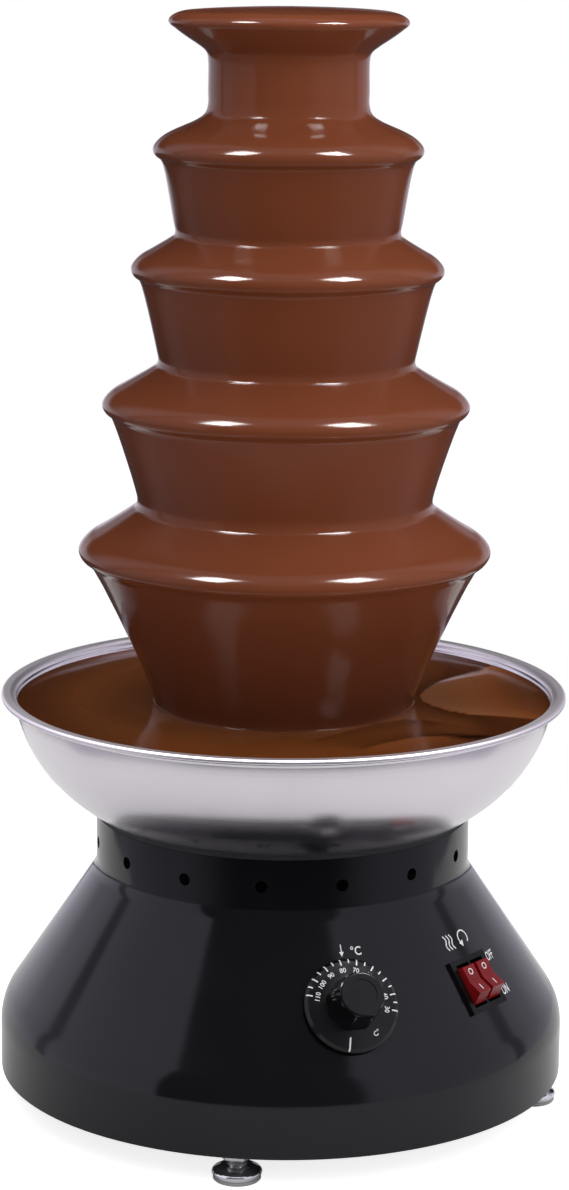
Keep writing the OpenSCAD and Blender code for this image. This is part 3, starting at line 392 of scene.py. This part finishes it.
def bowl_section():
    """Inside, rim and bead, then the outside; and the rows of its sharp corners."""
    side_steps, bend_steps, bead_steps = 48, 12, 30
    bend_c = np.array([RIM_R - RIM_W, RIM_Z - BOWL_T - RIM_BEND_R])
    lean = math.degrees(math.atan2(bend_c[1] - BOWL_SIDE_C[1], bend_c[0] - BOWL_SIDE_C[0]))
    bead_c = (RIM_R - BEAD_R, RIM_Z - BEAD_R)
    under = math.degrees(math.asin((BEAD_R - BOWL_T) / BEAD_R))
    inside = np.vstack([[(AXIS_R, BOWL_SIDE_C[1] - BOWL_SIDE_R + BOWL_T)],
                        arc_points(BOWL_SIDE_R - BOWL_T, -90, lean, BOWL_SIDE_C, side_steps),
                        arc_points(RIM_BEND_R + BOWL_T, 180 + lean, 90, bend_c, bend_steps)])
    bead = arc_points(BEAD_R, 90, -180 - under, bead_c, bead_steps)
    outside = np.vstack([arc_points(RIM_BEND_R, 90, 180 + lean, bend_c, bend_steps),
                         arc_points(BOWL_SIDE_R, lean, -90, BOWL_SIDE_C, side_steps),
                         [(AXIS_R, BOWL_SIDE_C[1] - BOWL_SIDE_R)]])
    corner = len(inside) + len(bead) - 1
    return np.vstack([inside, bead, outside]), [corner, 0, -1]


def plain_shape(radius, height, turn):
    return np.broadcast_to(radius, (len(radius), turn.shape[1])), height


def bowl():
    section, sharp = bowl_section()
    made = lathe("bowl_skin", section, sharp, plain_shape, BOWL_TURNS, "stainless_steel")
    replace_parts(made, "bowl")


# Running chocolate on the tower

FILM = 1.8
FILM_STEPS = 5
CROWN_TOP = RIM_Z + 278.2
DISH_EDGE = (48.2, RIM_Z + 272.8)
NECK_FILM_R, NECK_END_Z = TUBE_R + 2.4, 418.0
# Edge of each level, how far the sheet tucks in under it, the corner where it lands, and the fillet
# at that corner
LEVELS = [
    ((54.6, RIM_Z + 221.6), 4.2, (45.5, 360.0), 3.0),
    ((63.3, RIM_Z + 173.8), 4.2, (52.0, 307.4), 4.0),
    ((74.6, RIM_Z + 118.6), 4.4, (60.2, 249.2), 5.0),
    ((84.3, RIM_Z + 58.8), 5.4, (54.0, POOL_Z), 0.4),
]
TOWER_FOOT_R = LEVELS[-1][2][0]
FIRST_CORNER, FIRST_FILLET = (NECK_FILM_R, 408.4), 6.5
# Points of a fillet from its corner, as shares of its size: its start, its bend at a level, and its
# bend at the pool
FILLET_START = (0, 0.67)
LEVEL_BEND = [(0.171, 0.115), (0.623, -0.251)]
POOL_BEND = (0.3, 0.25)


def near(point, *offsets):
    return [(point[0] + dr, point[1] + dz) for dr, dz in offsets]


def scaled(size, *shares):
    return [(dr * size, dz * size) for dr, dz in shares]


def crown_line():
    """Swell over the dish, its edge, the flare and the neck, down to the second level."""
    swell = near((0, CROWN_TOP), (AXIS_R, 0), (16, -0.3), (30, -0.9), (38, -1.5))
    edge = near(DISH_EDGE, (-6.6, 3.5), (-3.9, 2.8), (-1.8, 1.8), (-0.45, 0.6), (0, -0.7),
                (-0.6, -1.9), (-2.0, -3.0))
    flare = near(DISH_EDGE, (-5.0, -5.3), (-8.2, -7.5), (-11.6, -9.7), (-14.3, -11.7))
    neck = near((NECK_FILM_R, DISH_EDGE[1]), (0.6, -12.9), (0, -15.4))
    return swell + edge + flare + neck + [(NECK_FILM_R, NECK_END_Z)]


def level_line(tip, tuck, landing, fillet):
    """Over the edge of a level and down to just above the fillet at the next landing."""
    out, above = 0.8, 4.5
    lip = near(tip, (-7.6, 7.4), (-4.1, 5.4), (-1.5, 3.1), (-0.15, 0.9), (-0.2, -0.9),
               (-1.2, -2.5), (-3.0, -3.9), (-tuck, -6.4))
    return lip + near(landing, (out, FILLET_START[1] * fillet + above))


def whole_line():
    """Outline of all the chocolate on the tower, and the number of its points at each corner."""
    above_pool = 0.05
    points, cuts = crown_line(), []
    corner, fillet = FIRST_CORNER, FIRST_FILLET
    for tip, tuck, landing, next_fillet in LEVELS:
        points += near(corner, *scaled(fillet, FILLET_START))
        cuts.append(len(points))
        points += near(corner, *scaled(fillet, *LEVEL_BEND))
        points += level_line(tip, tuck, landing, next_fillet)
        corner, fillet = landing, next_fillet
    points += near(corner, *scaled(fillet, FILLET_START, POOL_BEND), (fillet, above_pool))
    return points, cuts


def wave(size, count, turn, phase):
    """Waves round the axis: their size, their count in a turn, and how far they are shifted."""
    return size * np.sin(count * turn + phase)


def running(radius, height, turn):
    """Slight unevenness of a falling film: broad waves, and faint runs down the sheets."""
    full_r = 38
    broad = wave(0.22, 2, turn, height / 55) + wave(0.14, 3, turn, 1.1 - height / 34)
    runs = wave(0.018, 17, turn, 0.6) + wave(0.012, 29, turn, 2.2)
    runs = runs + wave(0.008, 47, turn, height / 90)
    grip = np.clip(radius / full_r, 0, 1) ** 3
    return radius + grip * (broad + runs), height + grip * wave(0.12, 5, turn, height / 20)


def shell(outer):
    """Closed section from an outer line and the same line moved in by the film's thickness."""
    step = np.gradient(outer, axis=0)
    step /= np.linalg.norm(step, axis=1, keepdims=True)
    inner = outer + FILM * np.stack([step[:, 1], -step[:, 0]], axis=-1)
    inner[:, 0] = np.maximum(inner[:, 0], AXIS_R)
    return np.vstack([outer, inner[::-1]]), [0, len(outer) - 1, len(outer), 2 * len(outer) - 1]


def films():
    """One film for each level, from corner to corner of the whole outline."""
    line, cuts = whole_line()
    curve = spline(line, FILM_STEPS)
    inner_ends = [FILM_STEPS * cut for cut in cuts]
    names = ["crown"] + ["curtain_%d" % (k + 2) for k in range(len(LEVELS))]
    for film, start, end in zip(names, [0] + inner_ends, inner_ends + [len(curve) - 1]):
        section, sharp = shell(curve[start:end + 1])
        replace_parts(lathe("film_" + film, section, sharp, running, FILM_TURNS), "chocolate_" + film)


# Pool

# Its folds seen from above: the edge of the tongue on the right; ripples in front, each with the
# painted light on its far side and on its near side, negative for painted shade; the middle and the
# two widths of a patch of painted shade, the hollow
TONGUE = [(95, 84), (91, 67), (84, 53), (73, 42), (63, 27), (57, 6), (60, -6), (75, -22),
          (100, -31), (112, -33)]
RIPPLES = [
    ([(-1, -77), (11, -69), (21, -59), (31, -46), (41, -37), (53, -34), (64, -38), (79, -44)],
     0.12, -0.2),
    ([(30, -88), (35, -79), (43, -71), (52, -64), (63, -60), (78, -54)], -0.26, 0.08),
    ([(-32, -72), (-17, -74), (-8, -72), (1, -64), (9, -52)], 0.06, -0.1),
]
HOLLOW, HOLLOW_WIDE, HOLLOW_DEEP = (73, -60), 9.0, 3.5
FOLD_STEPS = 6


def smooth(value):
    value = np.clip(value, 0, 1)
    return value * value * (3 - 2 * value)


def fade(distance, reach):
    return np.exp(-distance.clip(0) / reach)


def plane_distance(x, y, path):
    """Distance of points from a bent line, positive on its left, and how far along it they are."""
    nearest, sign, share = np.full(x.shape, np.inf), np.ones(x.shape), np.zeros(x.shape)
    for k, (a, b) in enumerate(zip(path, path[1:])):
        along = b - a
        t = np.clip(((x - a[0]) * along[0] + (y - a[1]) * along[1]) / (along @ along), 0, 1)
        dx, dy = x - a[0] - t * along[0], y - a[1] - t * along[1]
        far = np.hypot(dx, dy)
        closer = far < nearest
        sign = np.where(closer, np.sign(along[0] * dy - along[1] * dx), sign)
        share = np.where(closer, (k + t) / (len(path) - 1), share)
        nearest = np.minimum(nearest, far)
    return nearest * sign, share


def inside_tongue(x, y):
    return plane_distance(x, y, spline(TONGUE, FOLD_STEPS))[0]


def ripple_distances(x, y):
    """Distance from each ripple's line, and a weight that fades out at the line's ends."""
    ends = 4
    for path, far, near_side in RIPPLES:
        distance, share = plane_distance(x, y, spline(path, FOLD_STEPS))
        yield distance, smooth(ends * share) * smooth(ends * (1 - share)), far, near_side


def pool_swell(radius, turn):
    """Height of the folds: a tongue on the right, ripples in front, and a rise at the bowl."""
    tongue_rise, trench, ripple_rise, bowl_rise = 0.6, 0.2, 0.35, 0.5
    tongue_w, tongue_start, trench_w, ripple_w = 10, 0.3, 3, 5
    tower_r, tower_w, wall_r, wall_w = 56, 12, 108, 10
    edge_r, edge_reach = 110.2, 1.6
    x, y = on_plane(radius, turn)
    inside = inside_tongue(x, y)
    folds = tongue_rise * smooth(inside / tongue_w + tongue_start)
    folds = folds - trench * np.exp(-((inside + trench_w) / trench_w) ** 2)
    for distance, weight, _, _ in ripple_distances(x, y):
        folds = folds + ripple_rise * weight * np.exp(-(distance / ripple_w) ** 2)
    slow = wave(0.3, 2, turn, 0.7) + wave(0.2, 5, turn, radius / 14)
    middle = smooth((radius - tower_r) / tower_w) * smooth((wall_r - radius) / wall_w)
    return (folds + slow) * middle + bowl_rise * fade(edge_r - radius, edge_reach)


def pool_painted_shading(radius, turn):
    """Painted light and shade of the pool: painted light just inside the tongue's edge, painted
    shade just outside it.

    It also has painted light by the tower, against the shade the tower casts, and painted shade at
    the sides and in the hollow.
    """
    # Painted light and painted shade, as shares of the pool's colour ramp
    plain, tongue_painted_light, tower_painted_light = 0.62, 0.38, 0.1
    beside_painted_shade, side_painted_shade, hollow_painted_shade = 0.34, 0.25, 0.3
    tongue_reach, beside_reach, tower_reach, ripple_reach = 14, 21, 16, 9
    side_start, side_width, ripple_edge = 78, 28, 3
    # Least shares of the painted shade, the second only in the hollow
    darkest_fold, darkest = 0.34, 0.2
    x, y = on_plane(radius, turn)
    inside = inside_tongue(x, y)
    shade = plain + np.where(inside > 0, tongue_painted_light * fade(inside, tongue_reach),
                             -beside_painted_shade * fade(-inside, beside_reach))
    # Painted light by the tower's foot, against the shade the tower casts on the pool
    shade += tower_painted_light * fade(radius - TOWER_FOOT_R, tower_reach)
    # Painted shade at the sides of the pool
    shade -= side_painted_shade * smooth((radius - side_start) / side_width) * np.abs(np.sin(turn))
    # Painted light on each side of each ripple where its value is positive, painted shade where it is
    # negative
    for distance, weight, far, near_side in ripple_distances(x, y):
        side = smooth(distance / ripple_edge + 0.5)
        shade += weight * side * far * fade(distance, ripple_reach)
        shade += weight * (1 - side) * near_side * fade(-distance, ripple_reach)
    # Painted shade in the hollow
    hollow = np.exp(-((x - HOLLOW[0]) / HOLLOW_WIDE) ** 2 - ((y - HOLLOW[1]) / HOLLOW_DEEP) ** 2)
    return (shade.clip(darkest_fold, 1.0) - hollow_painted_shade * hollow).clip(darkest)


def pool_section():
    """Top of the pool out to the bowl, then down the bowl's side and back along its floor.

    The number of rows on the top comes with it.
    """
    bowl_gap, rows, bend_steps = 0.12, 64, 24
    inner_r, foot_r, foot_h = TUBE_R + 0.3, TUBE_R + 12, 7
    side_r = BOWL_SIDE_R - BOWL_T - bowl_gap
    top_r = BOWL_SIDE_C[0] + math.sqrt(side_r ** 2 - (POOL_Z - BOWL_SIDE_C[1]) ** 2)
    top = [(r, POOL_Z) for r in np.linspace(inner_r, top_r, rows)]
    start = math.asin((POOL_Z - BOWL_SIDE_C[1]) / side_r)
    side = [(BOWL_SIDE_C[0] + side_r * math.cos(a), BOWL_SIDE_C[1] + side_r * math.sin(a))
            for a in np.linspace(start, -math.pi / 2, bend_steps)]
    floor_z = side[-1][1]
    foot = [(foot_r, floor_z), (foot_r, floor_z + foot_h), (inner_r, floor_z + foot_h)]
    return np.array(top + side[1:] + foot), rows


def pool_shape(radius, height, turn):
    lift = np.where(np.abs(height - POOL_Z) < TINY, pool_swell(radius, turn), 0.0)
    return np.broadcast_to(radius, lift.shape), height + lift


def pool():
    section, top_rows = pool_section()
    made = lathe("film_pool", section, [top_rows - 1], pool_shape, POOL_TURNS)
    # The pool's painted light and shade, kept on its mesh as an attribute
    shade = pool_painted_shading(section[:, :1], turns_of(POOL_TURNS))
    made.data.attributes.new("fold_painted_shading", "FLOAT", "POINT").data.foreach_set("value", shade.ravel())
    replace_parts(made, "chocolate_pool")


# Prints

def on_cone(turn, up):
    """Frame on the cone: x to the right, y up the cone, z out of it."""
    out = BASE_R - up * math.sin(CONE_LEAN)
    lift = Matrix.Translation((0, -out, SKIRT_Z + up * math.cos(CONE_LEAN)))
    tilt = Matrix.Rotation(math.pi / 2 - CONE_LEAN, 4, "X")
    return Matrix.Rotation(math.radians(turn), 4, "Z") @ lift @ tilt


def wrapped(turn, up):
    """Puts flat points on the cone round a middle, a little above the paint."""
    def place(x, y):
        radius = BASE_R - (up + y) * math.sin(CONE_LEAN)
        here = on_cone(turn + math.degrees(x / radius), up + y)
        return here @ Vector((0, 0, INK_LIFT))
    return place


class Print:
    """Flat ink: letters, bars and bent lines, each put in place by a function of x and y."""

    def __init__(self):
        self.points, self.faces = [], []

    def add(self, flat, faces, place):
        start = len(self.points)
        self.points += [tuple(place(x, y)) for x, y in flat]
        self.faces += [[start + k for k in face] for face in faces]

    def letters(self, text, size, place, turn=0.0, at=(0.0, 0.0), wide=1.0):
        bolder = 0.012
        font = bpy.data.curves.new("letters", "FONT")
        font.body, font.size, font.offset = text, size, bolder * size
        font.align_x, font.align_y = "CENTER", "CENTER"
        font.resolution_u = 3
        holder = bpy.data.objects.new("letters", font)
        scene.collection.objects.link(holder)
        mesh = holder.evaluated_get(bpy.context.evaluated_depsgraph_get()).to_mesh()
        c, s = math.cos(math.radians(turn)), math.sin(math.radians(turn))
        flat = [(at[0] + c * wide * v.co.x - s * v.co.y, at[1] + s * wide * v.co.x + c * v.co.y)
                for v in mesh.vertices]
        self.add(flat, [list(p.vertices) for p in mesh.polygons], place)
        bpy.data.objects.remove(holder)
        bpy.data.curves.remove(font)

    def stroke(self, line, width, place):
        """A line of even width along points."""
        line = np.asarray(line, float)
        step = np.gradient(line, axis=0)
        step /= np.linalg.norm(step, axis=1, keepdims=True)
        side = width / 2 * np.stack([-step[:, 1], step[:, 0]], axis=-1)
        flat = np.vstack([line - side, line + side])
        n = len(line)
        self.add(flat.tolist(), [[k, k + 1, n + k + 1, n + k] for k in range(n - 1)], place)

    def made(self, name, body):
        return piece(name, self.points, self.faces, "white_ink", body)


def dial_face(angle):
    """Puts points on the dial's face, at an angle from its right: x round it, y outwards."""
    here = on_cone(DIAL_TURN, DIAL_UP)
    c, s = math.cos(math.radians(angle)), math.sin(math.radians(angle))
    low_z = DIAL_FACE_Z - DIAL_FACE_DROP

    def place(x, y):
        if y > DIAL_FACE_R:
            z = low_z + (y - DIAL_FACE_R) / (DIAL_R - DIAL_FACE_R) * (DIAL_EDGE_Z - low_z)
        else:
            z = DIAL_FACE_Z - DIAL_FACE_DROP * (y - DIAL_FACE_IN_R) / (DIAL_FACE_R - DIAL_FACE_IN_R)
        return here @ Vector((y * c + x * s, y * s - x * c, z + INK_LIFT))
    return place


def dial_marks():
    """Degrees from 30 to 110 with half steps, a long mark for off, and the unit."""
    first_angle, step_angle, off_angle, unit_angle = -12.5, 21.9, -102.0, -56.0
    first_number, number_step, count = 30, 10, 9
    number_r, number_size, unit_r = 14.0, 2.7, 14.6
    mark_r, half_mark_r, off_mark_r, mark_end = 16.1, 16.9, 13.2, DIAL_R - 0.3
    mark_w, off_mark_w = 0.55, 0.6
    marks = Print()
    for k in range(2 * count - 1):
        place = dial_face(first_angle + step_angle * k / 2)
        start = mark_r if k % 2 == 0 else half_mark_r
        marks.stroke([(0, start), (0, DIAL_FACE_R), (0, mark_end)], mark_w, place)
        if k % 2 == 0:
            number = str(first_number + number_step * k // 2)
            marks.letters(number, number_size, place, at=(0, number_r))
    off = dial_face(off_angle)
    marks.stroke([(0, off_mark_r), (0, DIAL_FACE_R), (0, mark_end)], off_mark_w, off)
    marks.letters("C°", number_size, dial_face(unit_angle), turn=180, at=(0, unit_r))
    marks.made("dial_marks", "dial")


def panel_prints():
    """Index arrow and unit over the dial; at the switch signs for heat and turning, ON and OFF."""
    arrow_up, unit_turn, unit_up, unit_size = 57.2, 19.9, 56.4, 5.0
    heat_x, turn_x, sign_y, ring_r, word_size = -4.7, 4.7, 19.0, 3.0, 5.4
    arrow_w, heat_w, ring_w = 0.42, 0.55, 0.6
    wave_h, wave_gap, wave_size, wave_length, wave_points = 6.4, 1.9, 0.55, 5.2, 17
    prints = Print()
    arrow = wrapped(DIAL_TURN, arrow_up)
    prints.stroke([(0, 2.5), (0, -0.8)], arrow_w, arrow)
    prints.add([(-0.95, -0.5), (0, -2.5), (0.95, -0.5)], [[0, 1, 2]], arrow)
    prints.letters("°C", unit_size, wrapped(unit_turn, unit_up), wide=0.85)
    switch = wrapped(SWITCH_TURN, SWITCH_UP)
    rise = np.linspace(-wave_h / 2, wave_h / 2, wave_points)
    bend = wave_size * np.sin(2 * math.pi * rise / wave_length)
    for shift in (-wave_gap, 0.0, wave_gap):
        prints.stroke(np.stack([heat_x + shift + bend, sign_y + rise], axis=-1), heat_w, switch)
    ring = arc_points(ring_r, -50, 220, (turn_x, sign_y))
    prints.stroke(ring, ring_w, switch)
    prints.add(near(ring[-1], (-1.4, 0.3), (0.4, -1.6), (1.3, 1.2)), [[0, 1, 2]], switch)
    prints.letters("OFF", word_size, switch, at=(16.9, 7.2), wide=0.62)
    prints.letters("ON", word_size, switch, at=(16.3, -7.8), wide=0.68)
    prints.made("panel_prints", "base")


def rocker_marks(name, x, body):
    """Ring for off on the upper half of a rocker and bar for on on the lower half."""
    ring_r, ring_y, ring_w, ring_steps = 1.15, 3.7, 0.4, 24
    bar_start, bar_end, bar_w = -2.4, -5.0, 0.45
    here = on_cone(SWITCH_TURN, SWITCH_UP) @ Matrix.Translation((x, 0, ROCKER_PIVOT_Z))
    here = here @ Matrix.Rotation(-math.radians(ROCKER_TILT), 4, "X")
    rise = math.tan(math.radians(ROCKER_TILT))

    def place(u, v):
        return here @ Vector((u, v, ROCKER_RISE + abs(v) * rise + INK_LIFT))
    marks = Print()
    marks.stroke(arc_points(ring_r, 0, 360, (0, ring_y), ring_steps), ring_w, place)
    marks.stroke([(0, bar_start), (0, bar_end)], bar_w, place)
    marks.made(name, body)


# Studio

def nodes_of(owner):
    owner.use_nodes = True
    owner.node_tree.nodes.clear()
    return owner.node_tree


def floor():
    """Pale floor that keeps the shadow and shows white to the camera.

    It is round in front and narrows behind, so that the bowl mirrors it and the sides of the tower
    don't.
    """
    radius, sides, glow_level = 0.33, 48, 0.8
    tones = (0.76, 0.76, 0.765, 1), (0.8, 0.8, 0.805, 1)
    behind = [(0.4, 0.06), (0.4, 0.36), (0.25, 0.47)]
    turns = np.linspace(-math.pi / 2, math.pi / 2, sides)
    edge = [(radius * math.sin(a), -radius * math.cos(a)) for a in turns]
    edge += behind + [(-x, y) for x, y in behind[::-1]]
    mesh = bpy.data.meshes.new("floor")
    mesh.from_pydata([(x, y, 0) for x, y in edge], [], [list(range(len(edge)))])
    made = bpy.data.objects.new("floor", mesh)
    scene.collection.objects.link(made)
    material = bpy.data.materials.new("floor")
    tree = nodes_of(material)
    path = add_node(tree, "LightPath").outputs
    grain = add_node(tree, "TexNoise", {"Scale": 40.0, "Detail": 4.0}).outputs["Fac"]
    tone = add_node(tree, "ValToRGB", {"Fac": grain})
    for element, color in zip(tone.color_ramp.elements, tones):
        element.color = color
    plain = add_node(tree, "BsdfDiffuse", {"Color": tone.outputs["Color"]}).outputs[0]
    glow = add_node(tree, "Emission", {"Strength": glow_level}).outputs[0]
    shown = add_node(tree, "AddShader", {0: plain, 1: glow}).outputs[0]
    seen = add_node(tree, "Math", {0: path["Is Camera Ray"], 1: path["Is Transmission Ray"]},
                    operation="MAXIMUM").outputs[0]
    mix = add_node(tree, "MixShader", {0: seen, 1: plain, 2: shown}).outputs[0]
    add_node(tree, "OutputMaterial", {"Surface": mix})
    mesh.materials.append(material)


def world():
    """Soft light, stronger from above and weaker from the left.

    Bright surfaces see white panels at the sides and a white ceiling, with a dark window in front
    and a dark part behind. Turns are from the front, and a height is the upward part of a
    direction.
    """
    # Levels of light
    below, above, left, right = 0.4, 1.5, 0.25, 1.06
    left_panel, right_panel, ceiling, gap_level = 1.05, 0.85, 1.05, 0.4
    window, low_window, low_panel, low_back, behind = 0.17, 0.03, 0.5, 0.06, 0.01
    tint = (0.9, 0.87, 1.0, 1.0)
    # Soft edges between them: where each starts and ends, as turns, heights or places across
    soft_rise, soft_across = (-0.4, 0.9), (-1.0, 0.2)
    window_left, window_right, panels_meet = (-51, -48), (30, 38), (-10, 10)
    gap_turn, gap_edge = 111.0, (2, 5)
    low_side, low_rear, dark_rear, dark_middle = (25, 65), (110, 140), (124, 150), (150, 176)
    horizon, dark_foot, dark_wide = (-0.2, -0.12), (-0.06, 0.08), (0.1, 0.24)
    ceiling_edge = (0.83, 0.88)
    made = bpy.data.worlds.new("studio")
    scene.world = made
    tree = nodes_of(made)

    def math_node(operation, a, b=0.0):
        return add_node(tree, "Math", {0: a, 1: b}, operation=operation).outputs[0]

    def step(value, start, end, low=0.0, high=1.0):
        inputs = {"Value": value, "From Min": start, "From Max": end, "To Min": low, "To Max": high}
        return add_node(tree, "MapRange", inputs, interpolation_type="SMOOTHSTEP").outputs["Result"]

    def mix(share, a, b):
        return add_node(tree, "Mix", {0: share, 2: a, 3: b}).outputs[0]

    def both(a, b):
        return math_node("MULTIPLY", a, b)

    direction = add_node(tree, "TexCoord").outputs["Generated"]
    x, y, z = add_node(tree, "SeparateXYZ", {0: direction}).outputs
    turn = both(math_node("ARCTAN2", x, both(y, -1.0)), 180 / math.pi)
    aside = math_node("ABSOLUTE", turn)
    gap = step(math_node("ABSOLUTE", math_node("SUBTRACT", aside, gap_turn)), *gap_edge, gap_level)
    panels = both(step(turn, *panels_meet, left_panel, right_panel), gap)
    front = both(step(turn, *window_left), step(turn, *window_right, 1, 0))
    dark = math_node("MAXIMUM", both(step(z, *dark_foot), step(aside, *dark_middle)),
                     both(step(z, *dark_wide), step(aside, *dark_rear)))
    upper = mix(dark, mix(front, panels, window), behind)
    upper = mix(step(z, *ceiling_edge), upper, ceiling)
    lower = mix(step(aside, *low_side), low_window, low_panel)
    lower = mix(step(aside, *low_rear), lower, low_back)
    mirror = mix(step(z, *horizon), lower, upper)
    path = add_node(tree, "LightPath").outputs
    soft = both(step(z, *soft_rise, below, above), step(x, *soft_across, left, right))
    seen = math_node("MAXIMUM", path["Is Camera Ray"], path["Is Transmission Ray"])
    level = mix(seen, mix(path["Is Glossy Ray"], soft, mirror), 1.0)
    tone = add_node(tree, "Mix", {0: path["Is Glossy Ray"], 6: (1, 1, 1, 1), 7: tint},
                    data_type="RGBA").outputs[2]
    light = add_node(tree, "Background", {"Color": tone, "Strength": level}).outputs[0]
    add_node(tree, "OutputWorld", {"Surface": light})


def softbox(name, turn):
    """Lamp that looks at the middle of the tower and shows only as a highlight."""
    rise, distance, wide, tall, power = math.radians(58), 1.3, 0.34, 0.4, 40.0
    aim = Vector((0, 0, 0.3))
    turn, level = math.radians(turn), math.cos(rise)
    out = Vector((math.sin(turn) * level, -math.cos(turn) * level, math.sin(rise)))
    lamp = bpy.data.lights.new(name, "AREA")
    lamp.shape, lamp.size, lamp.size_y, lamp.energy = "RECTANGLE", wide, tall, power
    made = bpy.data.objects.new(name, lamp)
    made.location = aim + distance * out
    made.rotation_euler = out.to_track_quat("Z", "Y").to_euler()
    made.visible_diffuse = False
    scene.collection.objects.link(made)


def camera():
    """The photograph's view: from a little above the top, looking down, with a slight roll."""
    image_h, focal, sensor = 1190, 3225, 36.0
    stand, pitch, roll = (0, -1.3, 0.49), 12.054, 0.5
    lens = bpy.data.cameras.new("camera")
    lens.sensor_width, lens.lens = sensor, sensor * focal / image_h
    made = bpy.data.objects.new("camera", lens)
    turn = Matrix.Rotation(math.radians(90 - pitch), 4, "X")
    turn = turn @ Matrix.Rotation(math.radians(roll), 4, "Z")
    made.matrix_world = Matrix.Translation(stand) @ turn
    scene.collection.objects.link(made)
    scene.camera = made


bowl()
films()
pool()
dial_marks()
panel_prints()
rocker_marks("rocker_heat_marks", -ROCKER_PITCH / 2, "heat_rocker")
rocker_marks("rocker_motor_marks", ROCKER_PITCH / 2, "motor_rocker")
floor()
world()
softbox("softbox_left", -60)
softbox("softbox_right", 60)
camera()
